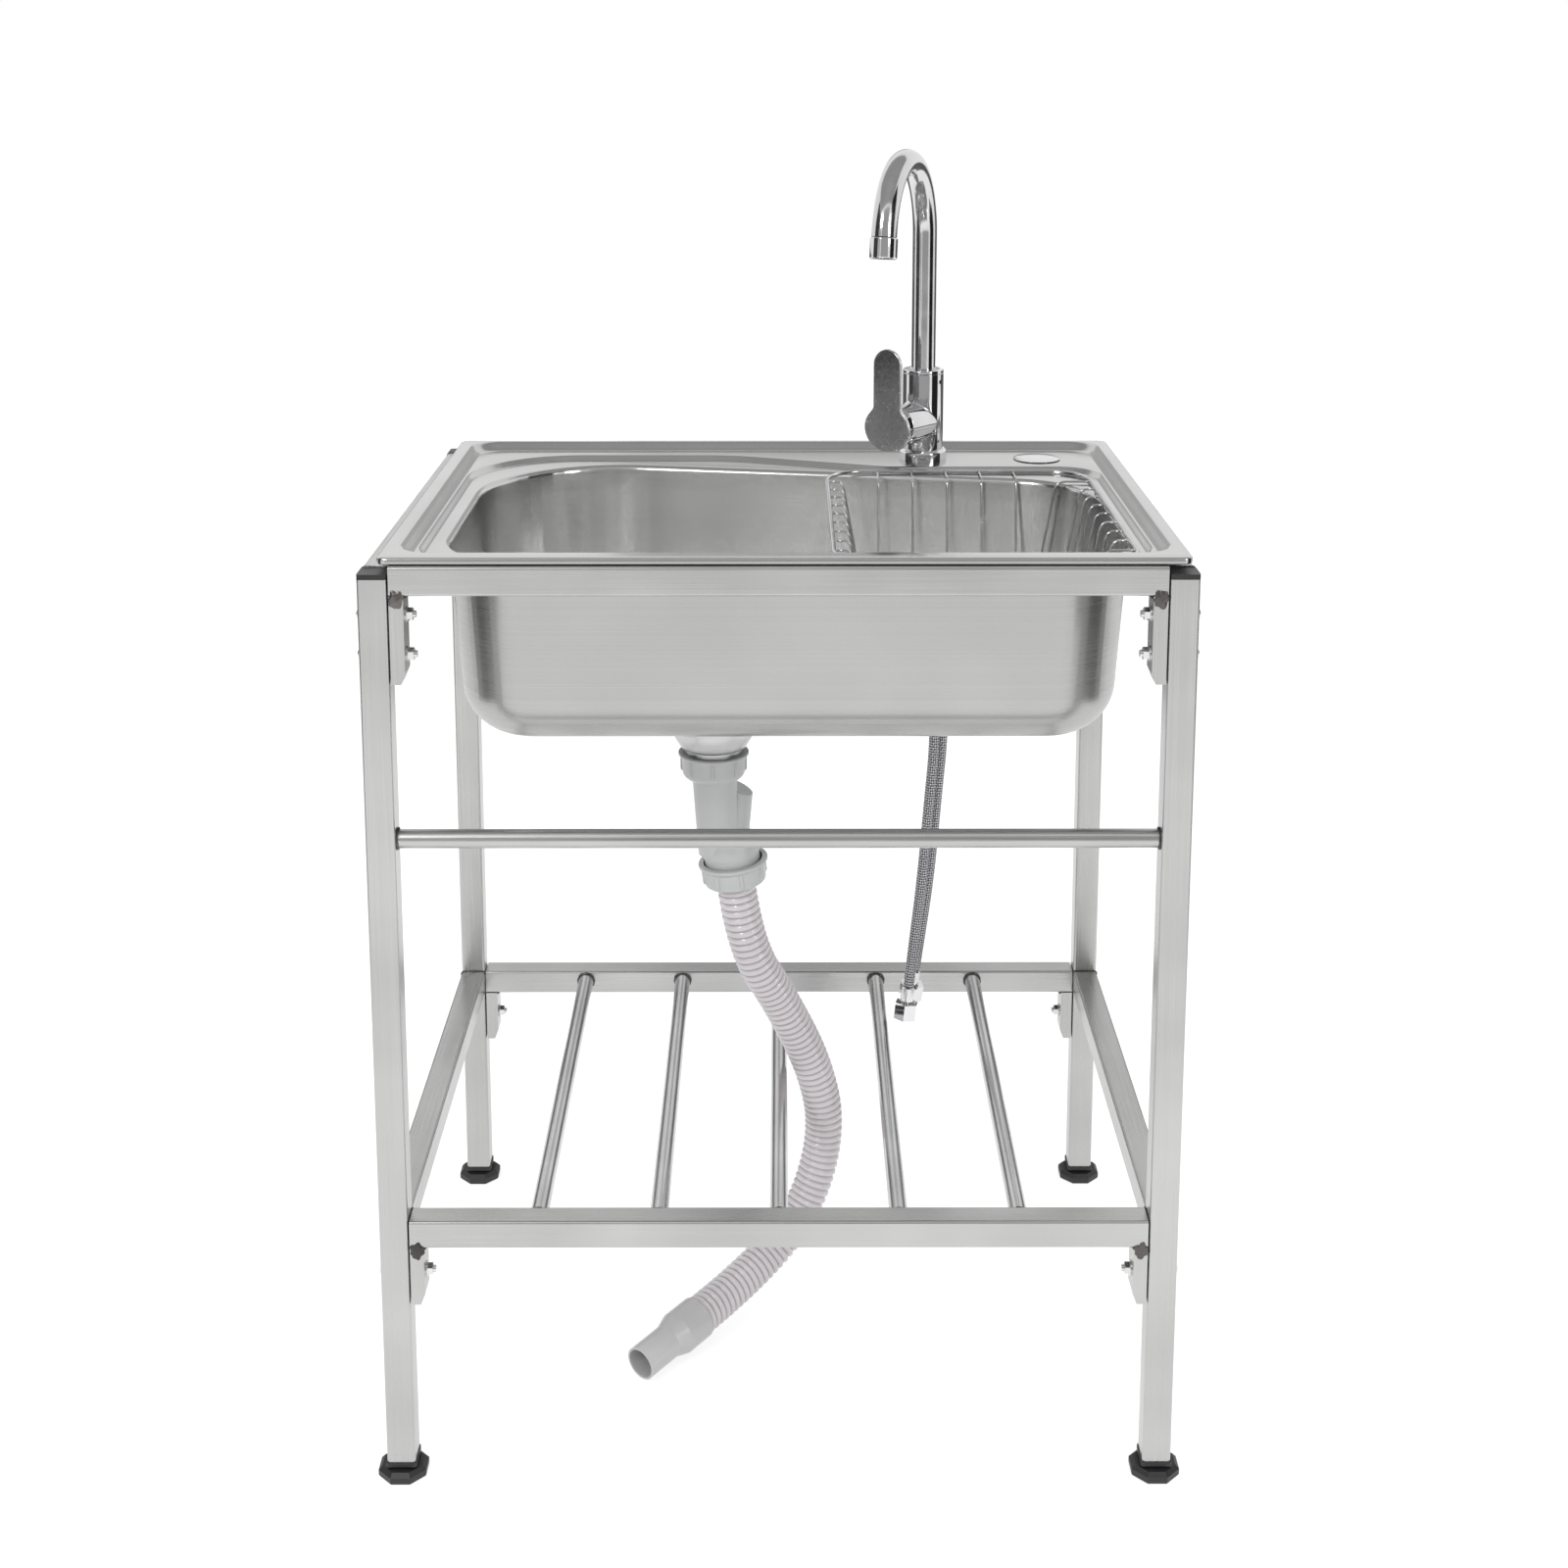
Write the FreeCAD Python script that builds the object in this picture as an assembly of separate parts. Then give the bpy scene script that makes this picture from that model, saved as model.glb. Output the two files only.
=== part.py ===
"""Free-standing kitchen sink unit: a pressed steel sink on a bolted square-tube stand.

Millimetres. Origin on the floor under the middle of the stand: +X right, +Y back, +Z up.
"""
import FreeCAD, Part
import math
import os

V = FreeCAD.Vector
X_AXIS = V(1, 0, 0)
Y_AXIS = V(0, 1, 0)
Z_AXIS = V(0, 0, 1)

# ---- stand -------------------------------------------------------------------------------
stand_width = 690.0
stand_depth = 525.0
tube = 25.0                    # side of the square tube
tube_wall = 1.0
tube_corner = 2.5
leg_bottom = 16.0
leg_top = 817.0
cap_height = 4.5
side_rail_top = leg_top + cap_height
cross_rail_top = 828.0         # front and back rails carry the sink
shelf_top = 246.5
rail_gap = 1.0                 # between a leg and the end of a bolted rail
bar_diameter = 16.0
bar_wall = 1.0
bar_count = 5
bar_pitch = 105.0
bar_below_top = 10.5           # bar centre under the top of the shelf rails
brace_height = 590.0
tab_width = 12.0
tab_wall = 1.5
tab_bevel = 4.0
tab_bevel_rise = 12.0
tab_foot = 7.5                 # solid foot under the tab's hollow
top_tab_drop = 75.0
shelf_tab_drop = 53.0
top_bolt_drops = (18.0, 52.0)
shelf_bolt_drops = (26.0,)

# ---- fasteners and feet ------------------------------------------------------------------
bolt_diameter = 6.0
bolt_hole = 6.6
bolt_head_diameter = 12.5
bolt_head_height = 3.0
frame_nut_across = 10.0
frame_nut_height = 6.0
frame_nut_flange = 13.0
frame_nut_flange_height = 1.2
bolt_tail = 2.5                # bolt end that stands out of its nut
socket_collar = 27.0
socket_collar_height = 4.0
socket_insert = 18.0
foot_across = 42.0
foot_height = 10.0
foot_bevel = 3.5
foot_edge = 1.0
foot_edge_height = 1.5
foot_stud_diameter = 8.0
foot_stud_length = 16.0
stud_clearance = 0.08

# ---- sink --------------------------------------------------------------------------------
sheet = 1.0
sink_left = -330.0
sink_right = 340.0
sink_front = -257.0
sink_back = 243.0
sink_corner = 8.0
rim_top = 834.0
rim_lip = 6.0
deck_top = 826.0               # faucet deck
shoulder_top = 821.0           # shelf round the bowl
step_slope = 10.0              # width of the slope from the rim to the deck
shoulder_slope = 6.0
recess_margin_left = 14.0
recess_margin_right = 12.0
recess_margin_front = 21.0
recess_margin_back = 7.0
recess_corner = 28.0
shoulder_left = -300.0
shoulder_right = 312.0
shoulder_front = -220.0
shoulder_back_right = 142.0
shoulder_back_left = 200.0
shoulder_corner = 35.0
shoulder_left_corner = 100.0
s_bend_angle = 20.0            # degrees, the sweep of the deck's curved step
s_bend_start = 125.0
s_bend_inner = 90.0
s_bend_outer = 150.0
bowl_left = -285.0
bowl_right = 303.0
bowl_front = -212.0
bowl_back_angle = 10.0         # degrees, the slant of the bowl's back edge
bowl_front_corner = 75.0
bowl_right_corner = 90.0
bowl_left_corner = 130.0
bowl_right_centre_y = 24.0
bowl_edge_radius = 6.0
bowl_draft = 8.0
bowl_floor = 652.0
bowl_floor_radius = 45.0
fillet_steps = 5
edge_steps = 2

# ---- drain -------------------------------------------------------------------------------
drain_x = -62.0
drain_y = -7.0
drain_recess_diameter = 118.0
drain_recess_depth = 3.0
drain_hole = 84.0
cup_flange = 114.0
cup_diameter = 80.0
cup_bottom = 588.0
cup_wall = 1.5
cup_slope = 13.0               # height of the taper at the cup's foot
cup_slope_reach = 6.0
neck_diameter = 57.0
neck_bottom = 566.0
neck_wall = 3.0
lock_ring_diameter = 102.0
lock_ring_height = 5.0
seal_height = 2.0
strainer_diameter = 76.0
strainer_floor = 612.0
strainer_hole = 4.0
strainer_wall = 1.2
strainer_taper = 8.0
strainer_rim = 4.0
strainer_rows = 3
strainer_row_step = 4          # holes added from row to row
strainer_row_pitch = 7.0
stopper_height = 5.0
stopper_radius = 29.0
stopper_edge = 3.0
post_radius = 3.0
knob_radius = 7.0
knob_height = 22.0             # top of the knob over the strainer's floor
knob_depth = 8.0
knob_edge = 3.0
nut_flange_diameter = 67.0
nut_body_diameter = 60.0
nut_height = 26.0
nut_flange_height = 3.0
nut_flange_slope = 2.0
nut_roof = 4.0
nut_draft = 0.5
nut_mouth = 3.0                # width of the slope round the nut's mouth
nut_drop = 5.0                 # from the cup's foot down to the nut
nut_bore_gap = 1.2
nut_lugs = 8
lug_width = 3.0
lug_depth = 2.0
lug_bite = 1.5                 # how far a lug is sunk in its nut
lug_margin = 2.0
tail_lean = 4.0                # degrees
tail_diameter = 42.0
tail_wall = 2.5
tail_collar_height = 3.0
tail_collar_gap = 0.5
tail_opening = 4.0             # how far the bores run past the fitting's ends
outlet_offset = 16.0
outlet_bulb = 54.0
outlet_height = 482.0
outlet_rise = 1.0
outlet_back = 1.0
branch_diameter = 32.0
branch_top = 541.0
branch_slant = 22.0            # degrees
branch_lean_right = 8.0
branch_lean_back = 18.0
branch_spare = 30.0            # length that the slanted cut takes off
roof_block = 120.0
nut_neck = 53.0
outlet_entry = 20.0            # how far the outlet goes into its nut

# ---- waste hose --------------------------------------------------------------------------
hose_diameter = 38.0
hose_bore = 30.0
hose_valley = 34.0
rib_pitch = 7.0
rib_crest = 0.34               # share of the pitch at full diameter
cuff_diameter = 41.0
cuff_length = 30.0
cuff_taper = 14.0
cuff_tube_diameter = 32.0
cuff_tube_length = 38.0
cuff_wall = 2.0
cuff_edge = 2.0
cuff_step = 2.0                # the hose's bore is this much wider than the cuff's
hose_route = [V(-41.0, -7.0, 449.0), V(-33.0, -5.0, 385.0), V(2.0, 22.0, 315.0),
              V(36.0, 44.0, 235.0), V(49.0, 51.0, 162.0), V(27.0, 37.0, 84.0),
              V(-27.0, 0.0, 35.0), V(-78.0, -60.0, 26.5)]

# ---- faucet ------------------------------------------------------------------------------
faucet_x = 146.0
faucet_y = 187.0
faucet_hole = 35.0
base_diameter = 49.0
base_height = 12.0
base_chamfer = 3.0
body_diameter = 41.0
body_top = 919.0
collar_height = 4.0
collar_chamfer = 1.0
body_cavity = 33.0
body_floor = 8.0               # thickness of the threaded floor
spout_diameter = 24.0
spout_wall = 2.0
spigot_diameter = 19.0
spigot_depth = 20.0
spigot_clearance = 0.06
spout_heading = 18.3           # degrees left of straight forward
spout_radius = 76.0
spout_centre_z = 1056.0
spout_arc = 172.0              # degrees
aerator_diameter = 26.0
aerator_length = 21.0
aerator_bore = 19.0
shank_diameter = 32.0
shank_length = 50.0
shank_floor = 4.0
housing_heading = 38.0         # degrees left of straight forward
housing_height = 866.0
housing_diameter = 40.0
housing_end = 46.0
pivot_reach = 40.0
bonnet_radius = 21.0
bonnet_end = 52.0
bonnet_hole = 20.0
bonnet_gap = 0.5
cartridge_diameter = 35.0
cartridge_start = 12.0
cartridge_end = 44.0
carrier_diameter = 30.0
carrier_start = 26.0
carrier_end = 36.0
running_gap = 0.3
lever_pin_radius = 2.0
lever_pin_clearance = 0.05
ear_radius = 4.0
ear_inner = 4.2                # the stem swings between the carrier's two ears
ear_outer = 8.5
stem_diameter = 7.0
hub_start = 52.0
hub_end = 60.0
hub_socket_end = 59.0
paddle_end = 64.0
paddle_wide = 54.0
paddle_tall = 47.0
handle_width = 33.0
handle_top = 80.0
cover_x = 262.0
cover_y = 184.0
cover_diameter = 47.0
cover_rise = 3.0
cover_stud = 6.0
cover_stud_length = 24.0
cover_flange_height = 2.0
cover_nut_across = 20.0
cover_nut_height = 10.0
faucet_washer_height = 3.0
faucet_nut_across = 44.0
faucet_nut_height = 10.0
spout_screw_diameter = 4.0
spout_screw_height = 907.0
spout_screw_heading = 53.0     # degrees right of straight forward
spout_screw_inset = 1.0

# ---- supply hoses ------------------------------------------------------------------------
supply_diameter = 11.0
ferrule_diameter = 13.4
ferrule_length = 16.0
ferrule_edge = 1.0
supply_nut_across = 22.0
supply_nut_height = 17.0
supply_thread_radius = 9.3
supply_tail_diameter = 9.0
supply_tail_length = 5.5
supply_collar = 15.0
supply_collar_height = 2.0
supply_nut_gap = 1.0
supply_nut_roof = 3.0
supply_relief = 4.0            # wider run between the nut's roof and its thread
supply_relief_radius = 9.8
cold_route = [V(138.5, 187.0, 776.0), V(140.0, 187.5, 700.0), V(157.0, 177.0, 620.0),
              V(162.0, 169.0, 540.0), V(155.0, 165.0, 460.0), V(149.0, 165.0, 380.0),
              V(141.0, 162.0, 312.0), V(136.0, 158.0, 266.0)]
hot_route = [V(153.5, 187.0, 776.0), V(155.0, 188.0, 705.0), V(168.0, 184.0, 625.0),
             V(171.0, 179.0, 545.0), V(164.0, 176.5, 465.0), V(158.0, 177.5, 385.0),
             V(150.0, 182.0, 318.0), V(144.0, 187.0, 272.0)]

# ---- wire basket -------------------------------------------------------------------------
rim_wire = 4.0
mesh_wire = 2.2
basket_left = 47.0             # centre line of the rim wire
basket_right = 304.0
basket_front = -215.0
basket_back = 136.0
basket_back_corner = 42.0
basket_front_corner = 24.0
basket_above_shoulder = 0.3
basket_floor = 718.0
basket_slope = 19.0            # how far the sides draw in on their way down
ledge_side = 15.0              # level run from the rim before a wire turns down
ledge_back = 32.0
mesh_bend = 10.0
wall_margin = 6.0              # between a wire and the bowl's rounded corners
weld_bite = 0.2                # how far a wire's end is sunk in the rim
long_wire_count = 5
long_wire_pitch = 33.7
long_wire_middle = 165.0
cross_wire_count = 9
cross_wire_pitch = 34.5
cross_wire_middle = -50.0

# ---- sound pad ---------------------------------------------------------------------------
pad_left = -215.0
pad_right = 235.0
pad_front = -150.0
pad_back = 95.0
pad_corner = 30.0
pad_height = 2.0
pad_clearance = 10.0           # gap round the drain's lock ring

half_width = stand_width / 2
half_depth = stand_depth / 2
leg_x = half_width - tube / 2
leg_y = half_depth - tube / 2
rail_half = half_width - tube - rail_gap
drain = V(drain_x, drain_y, 0)


# ---- helpers -----------------------------------------------------------------------------
def save(name, shape):
    shape.exportStep("parts/" + name + ".step")
    print(name, "solids", len(shape.Solids), "volume", round(shape.Volume), "valid", shape.isValid())


def rod(radius, start, end):
    """Solid cylinder from one point to another."""
    way = end.sub(start)
    return Part.makeCylinder(radius, way.Length, start, way)


def ring(outer, inner, start, end):
    return rod(outer, start, end).cut(rod(inner, start, end))


def turned(points, centre):
    """Revolve a profile of (radius, height) about the vertical through centre."""
    flat = [V(radius, 0, height) for radius, height in points]
    face = Part.Face(Part.makePolygon(flat + flat[:1]))
    solid = face.revolve(V(0, 0, 0), Z_AXIS, 360)
    solid.translate(V(centre.x, centre.y, 0))
    return solid


def rounded_wire(left, right, front, back, corner, z):
    """Rounded rectangle at a height, as four lines and four arcs."""
    edges = []
    spots = [(right - corner, front + corner, -90), (right - corner, back - corner, 0),
             (left + corner, back - corner, 90), (left + corner, front + corner, 180)]
    last = None
    first = None
    for x, y, turn in spots:
        ends = [V(x + corner * math.cos(math.radians(turn + step)),
                  y + corner * math.sin(math.radians(turn + step)), z) for step in (0, 45, 90)]
        if last is not None:
            edges.append(Part.LineSegment(last, ends[0]).toShape())
        else:
            first = ends[0]
        edges.append(Part.Arc(*ends).toShape())
        last = ends[2]
    edges.append(Part.LineSegment(last, first).toShape())
    return Part.Wire(edges)


def rounded_block(left, right, front, back, corner, bottom, top):
    face = Part.Face(rounded_wire(left, right, front, back, corner, bottom))
    return face.extrude(V(0, 0, top - bottom))


def square_tube(length):
    """Square tube with rounded corners, centred on the Z axis and standing on z = 0."""
    half = tube / 2
    inner = half - tube_wall
    outside = rounded_block(-half, half, -half, half, tube_corner, 0, length)
    inside = rounded_block(-inner, inner, -inner, inner, tube_corner - tube_wall, 0, length)
    return outside.cut(inside)


def lay(shape, centre, axis):
    """Turn a piece made along +Z so that it runs along an axis, and move it to a start point."""
    piece = shape.copy()
    piece.Placement = FreeCAD.Placement(centre, FreeCAD.Rotation(Z_AXIS, axis))
    return piece


def hexagon(across, height, start, axis):
    corner = across / math.sqrt(3)
    points = [V(corner * math.cos(math.radians(60 * i)), corner * math.sin(math.radians(60 * i)), 0)
              for i in range(6)]
    face = Part.Face(Part.makePolygon(points + points[:1]))
    return lay(face.extrude(V(0, 0, height)), start, axis)


def group(shapes):
    return Part.makeCompound(shapes)


# ---- outlines of the pressed sink --------------------------------------------------------
def arc_edge(centre, radius, start, end, z):
    """Arc about a centre between two headings in degrees."""
    points = []
    for turn in (start, (start + end) / 2, end):
        angle = math.radians(turn)
        points.append(V(centre[0] + radius * math.cos(angle), centre[1] + radius * math.sin(angle), z))
    return points


def joined(arcs):
    """Closed wire through arcs, with straight runs between them."""
    edges = []
    for i, arc in enumerate(arcs):
        edges.append(Part.Arc(*arc).toShape())
        edges.append(Part.LineSegment(arc[2], arcs[(i + 1) % len(arcs)][0]).toShape())
    return Part.Wire(edges)


def bowl_wire(inset, z):
    """Bowl outline, drawn in evenly by inset: the back edge slants down to the right."""
    slant = bowl_back_angle
    front_y = bowl_front + bowl_front_corner
    right_centre = (bowl_right - bowl_right_corner, bowl_right_centre_y)
    left_x = bowl_left + bowl_left_corner
    across = left_x - right_centre[0]
    drop = (bowl_right_corner - bowl_left_corner - across * math.sin(math.radians(slant)))
    left_centre = (left_x, right_centre[1] + drop / math.cos(math.radians(slant)))
    front_left = (bowl_left + bowl_front_corner, front_y)
    front_right = (bowl_right - bowl_front_corner, front_y)
    return joined([
        arc_edge(front_right, bowl_front_corner - inset, -90, 0, z),
        arc_edge(right_centre, bowl_right_corner - inset, 0, 90 - slant, z),
        arc_edge(left_centre, bowl_left_corner - inset, 90 - slant, 180, z),
        arc_edge(front_left, bowl_front_corner - inset, 180, 270, z)])


def shoulder_wire(inset, z):
    """Outline of the shelf round the bowl: its back edge swings back on the left in an S."""
    corner = shoulder_corner
    left_corner = shoulder_left_corner
    bend = s_bend_angle
    sine = math.sin(math.radians(bend))
    cosine = math.cos(math.radians(bend))
    climb = shoulder_back_left - shoulder_back_right
    slope_rise = climb - (s_bend_inner + s_bend_outer) * (1 - cosine)
    reach = (s_bend_inner + s_bend_outer) * sine + slope_rise * cosine / sine
    inner = (s_bend_start, shoulder_back_right + s_bend_inner)
    outer = (s_bend_start - reach, shoulder_back_left - s_bend_outer)
    return joined([
        arc_edge((shoulder_right - corner, shoulder_front + corner), corner - inset, -90, 0, z),
        arc_edge((shoulder_right - corner, shoulder_back_right - corner), corner - inset, 0, 90, z),
        arc_edge(inner, s_bend_inner + inset, 270, 270 - bend, z),
        arc_edge(outer, s_bend_outer - inset, 90 - bend, 90, z),
        arc_edge((shoulder_left + left_corner, shoulder_back_left - left_corner),
                 left_corner - inset, 90, 180, z),
        arc_edge((shoulder_left + corner, shoulder_front + corner), corner - inset, 180, 270, z)])


def bowl_volume(grow, drop):
    """Space of the bowl, grown outwards and lowered: edge roll, drafted wall, rounded floor."""
    sections = []
    for step in range(edge_steps + 1):
        angle = math.radians(90 * step / edge_steps)
        sections.append((shoulder_top - bowl_edge_radius * math.sin(angle),
                         -bowl_edge_radius * (1 - math.sin(angle))))
    start = bowl_floor + bowl_floor_radius
    for step in range(fillet_steps + 1):
        angle = math.radians(90 * step / fillet_steps)
        sections.append((start - bowl_floor_radius * math.sin(angle),
                         bowl_draft + bowl_floor_radius * (1 - math.cos(angle))))
    wires = [bowl_wire(inset - grow, z - drop * (z < bowl_floor + sheet)) for z, inset in sections]
    return Part.makeLoft(wires, True, True)


def recess_volume(grow, drop):
    """Space of the first step, from the rim down to the faucet deck."""
    top = rounded_wire(sink_left + recess_margin_left - grow, sink_right - recess_margin_right + grow,
                       sink_front + recess_margin_front - grow, sink_back - recess_margin_back + grow,
                       recess_corner + grow, rim_top)
    inset = step_slope - grow
    low = rounded_wire(sink_left + recess_margin_left + inset, sink_right - recess_margin_right - inset,
                       sink_front + recess_margin_front + inset, sink_back - recess_margin_back - inset,
                       recess_corner - inset / 2, deck_top - drop)
    return Part.makeLoft([low, top], True, True)


def shoulder_volume(grow, drop):
    top = shoulder_wire(-shoulder_slope - grow, deck_top)
    low = shoulder_wire(-grow, shoulder_top - drop)
    return Part.makeLoft([low, top], True, True)


def make_sink():
    rim = rounded_block(sink_left, sink_right, sink_front, sink_back, sink_corner,
                        rim_top - rim_lip, rim_top)
    under = rounded_block(sink_left + sheet, sink_right - sheet, sink_front + sheet, sink_back - sheet,
                          sink_corner - sheet, rim_top - rim_lip, rim_top - sheet)
    solid = rim.cut(under)
    solid = solid.fuse([recess_volume(sheet, sheet), shoulder_volume(sheet, sheet),
                        bowl_volume(sheet, sheet)])
    recess_low = bowl_floor - drain_recess_depth
    dish = rod(drain_recess_diameter / 2 + sheet, drain.add(V(0, 0, recess_low - sheet)),
               drain.add(V(0, 0, bowl_floor)))
    solid = solid.fuse(dish)
    holes = [rod(drain_recess_diameter / 2, drain.add(V(0, 0, recess_low)),
                 drain.add(V(0, 0, bowl_floor + sheet))),
             rod(drain_hole / 2, drain.add(V(0, 0, recess_low - 2 * sheet)),
                 drain.add(V(0, 0, bowl_floor)))]
    for x, y in ((faucet_x, faucet_y), (cover_x, cover_y)):
        holes.append(rod(faucet_hole / 2, V(x, y, deck_top - 3 * sheet), V(x, y, rim_top)))
    return solid.cut([recess_volume(0, 0), shoulder_volume(0, 0), bowl_volume(0, 0)]).cut(holes)


# ---- stand -------------------------------------------------------------------------------
corners = {"front_left": (-1, -1), "front_right": (1, -1), "back_left": (-1, 1), "back_right": (1, 1)}
top_bolts = [cross_rail_top - tube - drop for drop in top_bolt_drops]
shelf_bolts = [shelf_top - tube - drop for drop in shelf_bolt_drops]
bolt_heights = top_bolts + shelf_bolts


def across(side, radius, x_from, x_to, y, z):
    """Cylinder along X on one side of the stand, given by distances from the middle."""
    return rod(radius, V(side * x_from, y, z), V(side * x_to, y, z))


def make_leg(side, front):
    leg = square_tube(leg_top - leg_bottom)
    leg.translate(V(side * leg_x, front * leg_y, leg_bottom))
    holes = [across(side, bolt_hole / 2, half_width - tube - sheet, half_width + sheet, front * leg_y, z)
             for z in bolt_heights]
    return leg.cut(holes)


def make_side_rail(side, top):
    """Rail welded between the front and back legs of one side."""
    length = stand_depth - 2 * tube
    return lay(square_tube(length), V(side * leg_x, -length / 2, top - tube / 2), Y_AXIS)


def make_cross_rail(front, top):
    """Rail that is bolted between the two side frames."""
    return lay(square_tube(2 * rail_half), V(-rail_half, front * leg_y, top - tube / 2), X_AXIS)


def make_tab(side, front, top, drop, heights):
    """Short flat tube under a rail's end, bevelled at its foot, that takes the bolts."""
    outside = Part.makeBox(tab_width, tube, drop, V(rail_half - tab_width, -tube / 2, top - drop))
    inner_x = rail_half - tab_width
    low = top - drop - 1
    wedge = Part.Face(Part.makePolygon([V(inner_x - 1, -tube, low), V(inner_x + tab_bevel, -tube, low),
                                        V(inner_x - 1, -tube, top - drop + tab_bevel_rise),
                                        V(inner_x - 1, -tube, low)]))
    outside = outside.cut(wedge.extrude(V(0, 2 * tube, 0)))
    inside = Part.makeBox(tab_width - 2 * tab_wall, tube - 2 * tab_wall, drop - tab_wall,
                          V(inner_x + tab_wall, -tube / 2 + tab_wall, top - drop + tab_foot))
    tab = outside.cut(inside)
    for z in heights:
        tab = tab.cut(rod(bolt_hole / 2, V(inner_x - 1, 0, z), V(rail_half + 1, 0, z)))
    if side < 0:
        tab = tab.mirror(V(0, 0, 0), X_AXIS)
    tab.translate(V(0, front * leg_y, 0))
    return tab


def make_bolt(side, front, z):
    """Round-headed bolt through a leg and its tab."""
    head_top = half_width + bolt_head_height
    profile_radius = (bolt_head_diameter ** 2 / 4 + bolt_head_height ** 2) / (2 * bolt_head_height)
    y = front * leg_y
    dome = Part.makeSphere(profile_radius, V(side * (head_top - profile_radius), y, z))
    head = dome.common(across(side, bolt_head_diameter / 2, half_width, head_top, y, z))
    tail = rail_half - tab_width - frame_nut_height - bolt_tail
    return head.fuse(across(side, bolt_diameter / 2, tail, half_width, y, z)).removeSplitter()


def make_frame_nut(side, front, z):
    y = front * leg_y
    seat = rail_half - tab_width
    flange = across(side, frame_nut_flange / 2, seat - frame_nut_flange_height, seat, y, z)
    body = hexagon(frame_nut_across, frame_nut_height, V(side * seat, y, z), V(-side, 0, 0))
    bore = across(side, bolt_diameter / 2, seat + 1, seat - frame_nut_height - 1, y, z)
    return flange.fuse(body).cut(bore)


def make_socket(side, front):
    """Plastic plug with a square collar in the end of a leg, bored for the foot's stud."""
    x = side * leg_x
    y = front * leg_y
    half = socket_collar / 2
    collar = rounded_block(x - half, x + half, y - half, y + half, tube_corner,
                           leg_bottom - socket_collar_height, leg_bottom)
    inner = tube / 2 - tube_wall
    plug = rounded_block(x - inner, x + inner, y - inner, y + inner, tube_corner - tube_wall,
                         leg_bottom, leg_bottom + socket_insert)
    bore = rod(foot_stud_diameter / 2 + stud_clearance, V(x, y, 0), V(x, y, leg_top / 2))
    return collar.fuse(plug).cut(bore)


def make_foot(side, front):
    """Eight-sided levelling foot with a bevelled top, on its stud."""
    x = side * leg_x
    y = front * leg_y
    low = foot_across / 2 / math.cos(math.pi / 8)
    high = low - foot_bevel
    rims = []
    for radius, z in ((low - foot_edge, 0), (low, foot_edge_height), (low, foot_height - foot_bevel),
                      (high, foot_height)):
        points = [V(x + radius * math.cos(math.pi / 8 + i * math.pi / 4),
                    y + radius * math.sin(math.pi / 8 + i * math.pi / 4), z) for i in range(8)]
        rims.append(Part.makePolygon(points + points[:1]))
    pad = Part.makeLoft(rims, True, True)
    stud = rod(foot_stud_diameter / 2, V(x, y, foot_height / 2), V(x, y, foot_height + foot_stud_length))
    return pad.fuse(stud)


def make_cap(side, front):
    """Plastic cap over the top of a leg."""
    x = side * leg_x
    y = front * leg_y
    half = tube / 2
    inner = half - tube_wall
    lid = rounded_block(x - half, x + half, y - half, y + half, tube_corner, leg_top, leg_top + cap_height)
    plug = rounded_block(x - inner, x + inner, y - inner, y + inner, tube_corner - tube_wall,
                         leg_top - tube / 2, leg_top)
    return lid.fuse(plug)


def make_bar(x):
    """Round shelf bar between the two shelf rails."""
    z = shelf_top - bar_below_top
    reach = half_depth - tube
    return ring(bar_diameter / 2, bar_diameter / 2 - bar_wall, V(x, -reach, z), V(x, reach, z))


def make_brace():
    """Round bar between the two front legs."""
    reach = half_width - tube
    return ring(bar_diameter / 2, bar_diameter / 2 - bar_wall, V(-reach, -leg_y, brace_height),
                V(reach, -leg_y, brace_height))


def save_stand():
    sockets = []
    bolts = []
    nuts = []
    caps = []
    for place, (side, front) in corners.items():
        save("leg_" + place, make_leg(side, front))
        save("foot_" + place, make_foot(side, front))
        sockets.append(make_socket(side, front))
        caps.append(make_cap(side, front))
        bolts += [make_bolt(side, front, z) for z in bolt_heights]
        nuts += [make_frame_nut(side, front, z) for z in bolt_heights]
    save("foot_sockets", group(sockets))
    save("leg_caps", group(caps))
    save("frame_bolts", group(bolts))
    save("frame_nuts", group(nuts))
    for name, side in (("left", -1), ("right", 1)):
        save("top_rail_" + name, make_side_rail(side, side_rail_top))
        save("shelf_rail_" + name, make_side_rail(side, shelf_top))
    for name, front in (("front", -1), ("back", 1)):
        save("top_rail_" + name, make_cross_rail(front, cross_rail_top))
        save("shelf_rail_" + name, make_cross_rail(front, shelf_top))
    tabs = []
    for side, front in corners.values():
        tabs.append(make_tab(side, front, cross_rail_top - tube, top_tab_drop, top_bolts))
        tabs.append(make_tab(side, front, shelf_top - tube, shelf_tab_drop, shelf_bolts))
    save("rail_tabs", group(tabs))
    first = -bar_pitch * (bar_count - 1) / 2
    save("shelf_bars", group([make_bar(first + bar_pitch * i) for i in range(bar_count)]))
    save("front_brace", make_brace())


# ---- drain -------------------------------------------------------------------------------
flange_low = bowl_floor - drain_recess_depth


def make_drain_cup():
    """Steel cup with a flange in the bowl's floor and a threaded neck below."""
    outer = cup_diameter / 2
    neck = neck_diameter / 2
    inner = outer - cup_wall
    floor_top = cup_bottom + cup_wall
    profile = [(cup_flange / 2, flange_low), (cup_flange / 2, flange_low + cup_wall),
               (inner, flange_low + cup_wall), (inner, floor_top + cup_slope),
               (inner - cup_slope_reach, floor_top), (neck - neck_wall, floor_top),
               (neck - neck_wall, neck_bottom), (neck, neck_bottom), (neck, cup_bottom),
               (outer - cup_slope_reach, cup_bottom), (outer, cup_bottom + cup_slope), (outer, flange_low)]
    return turned(profile, drain)


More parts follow.
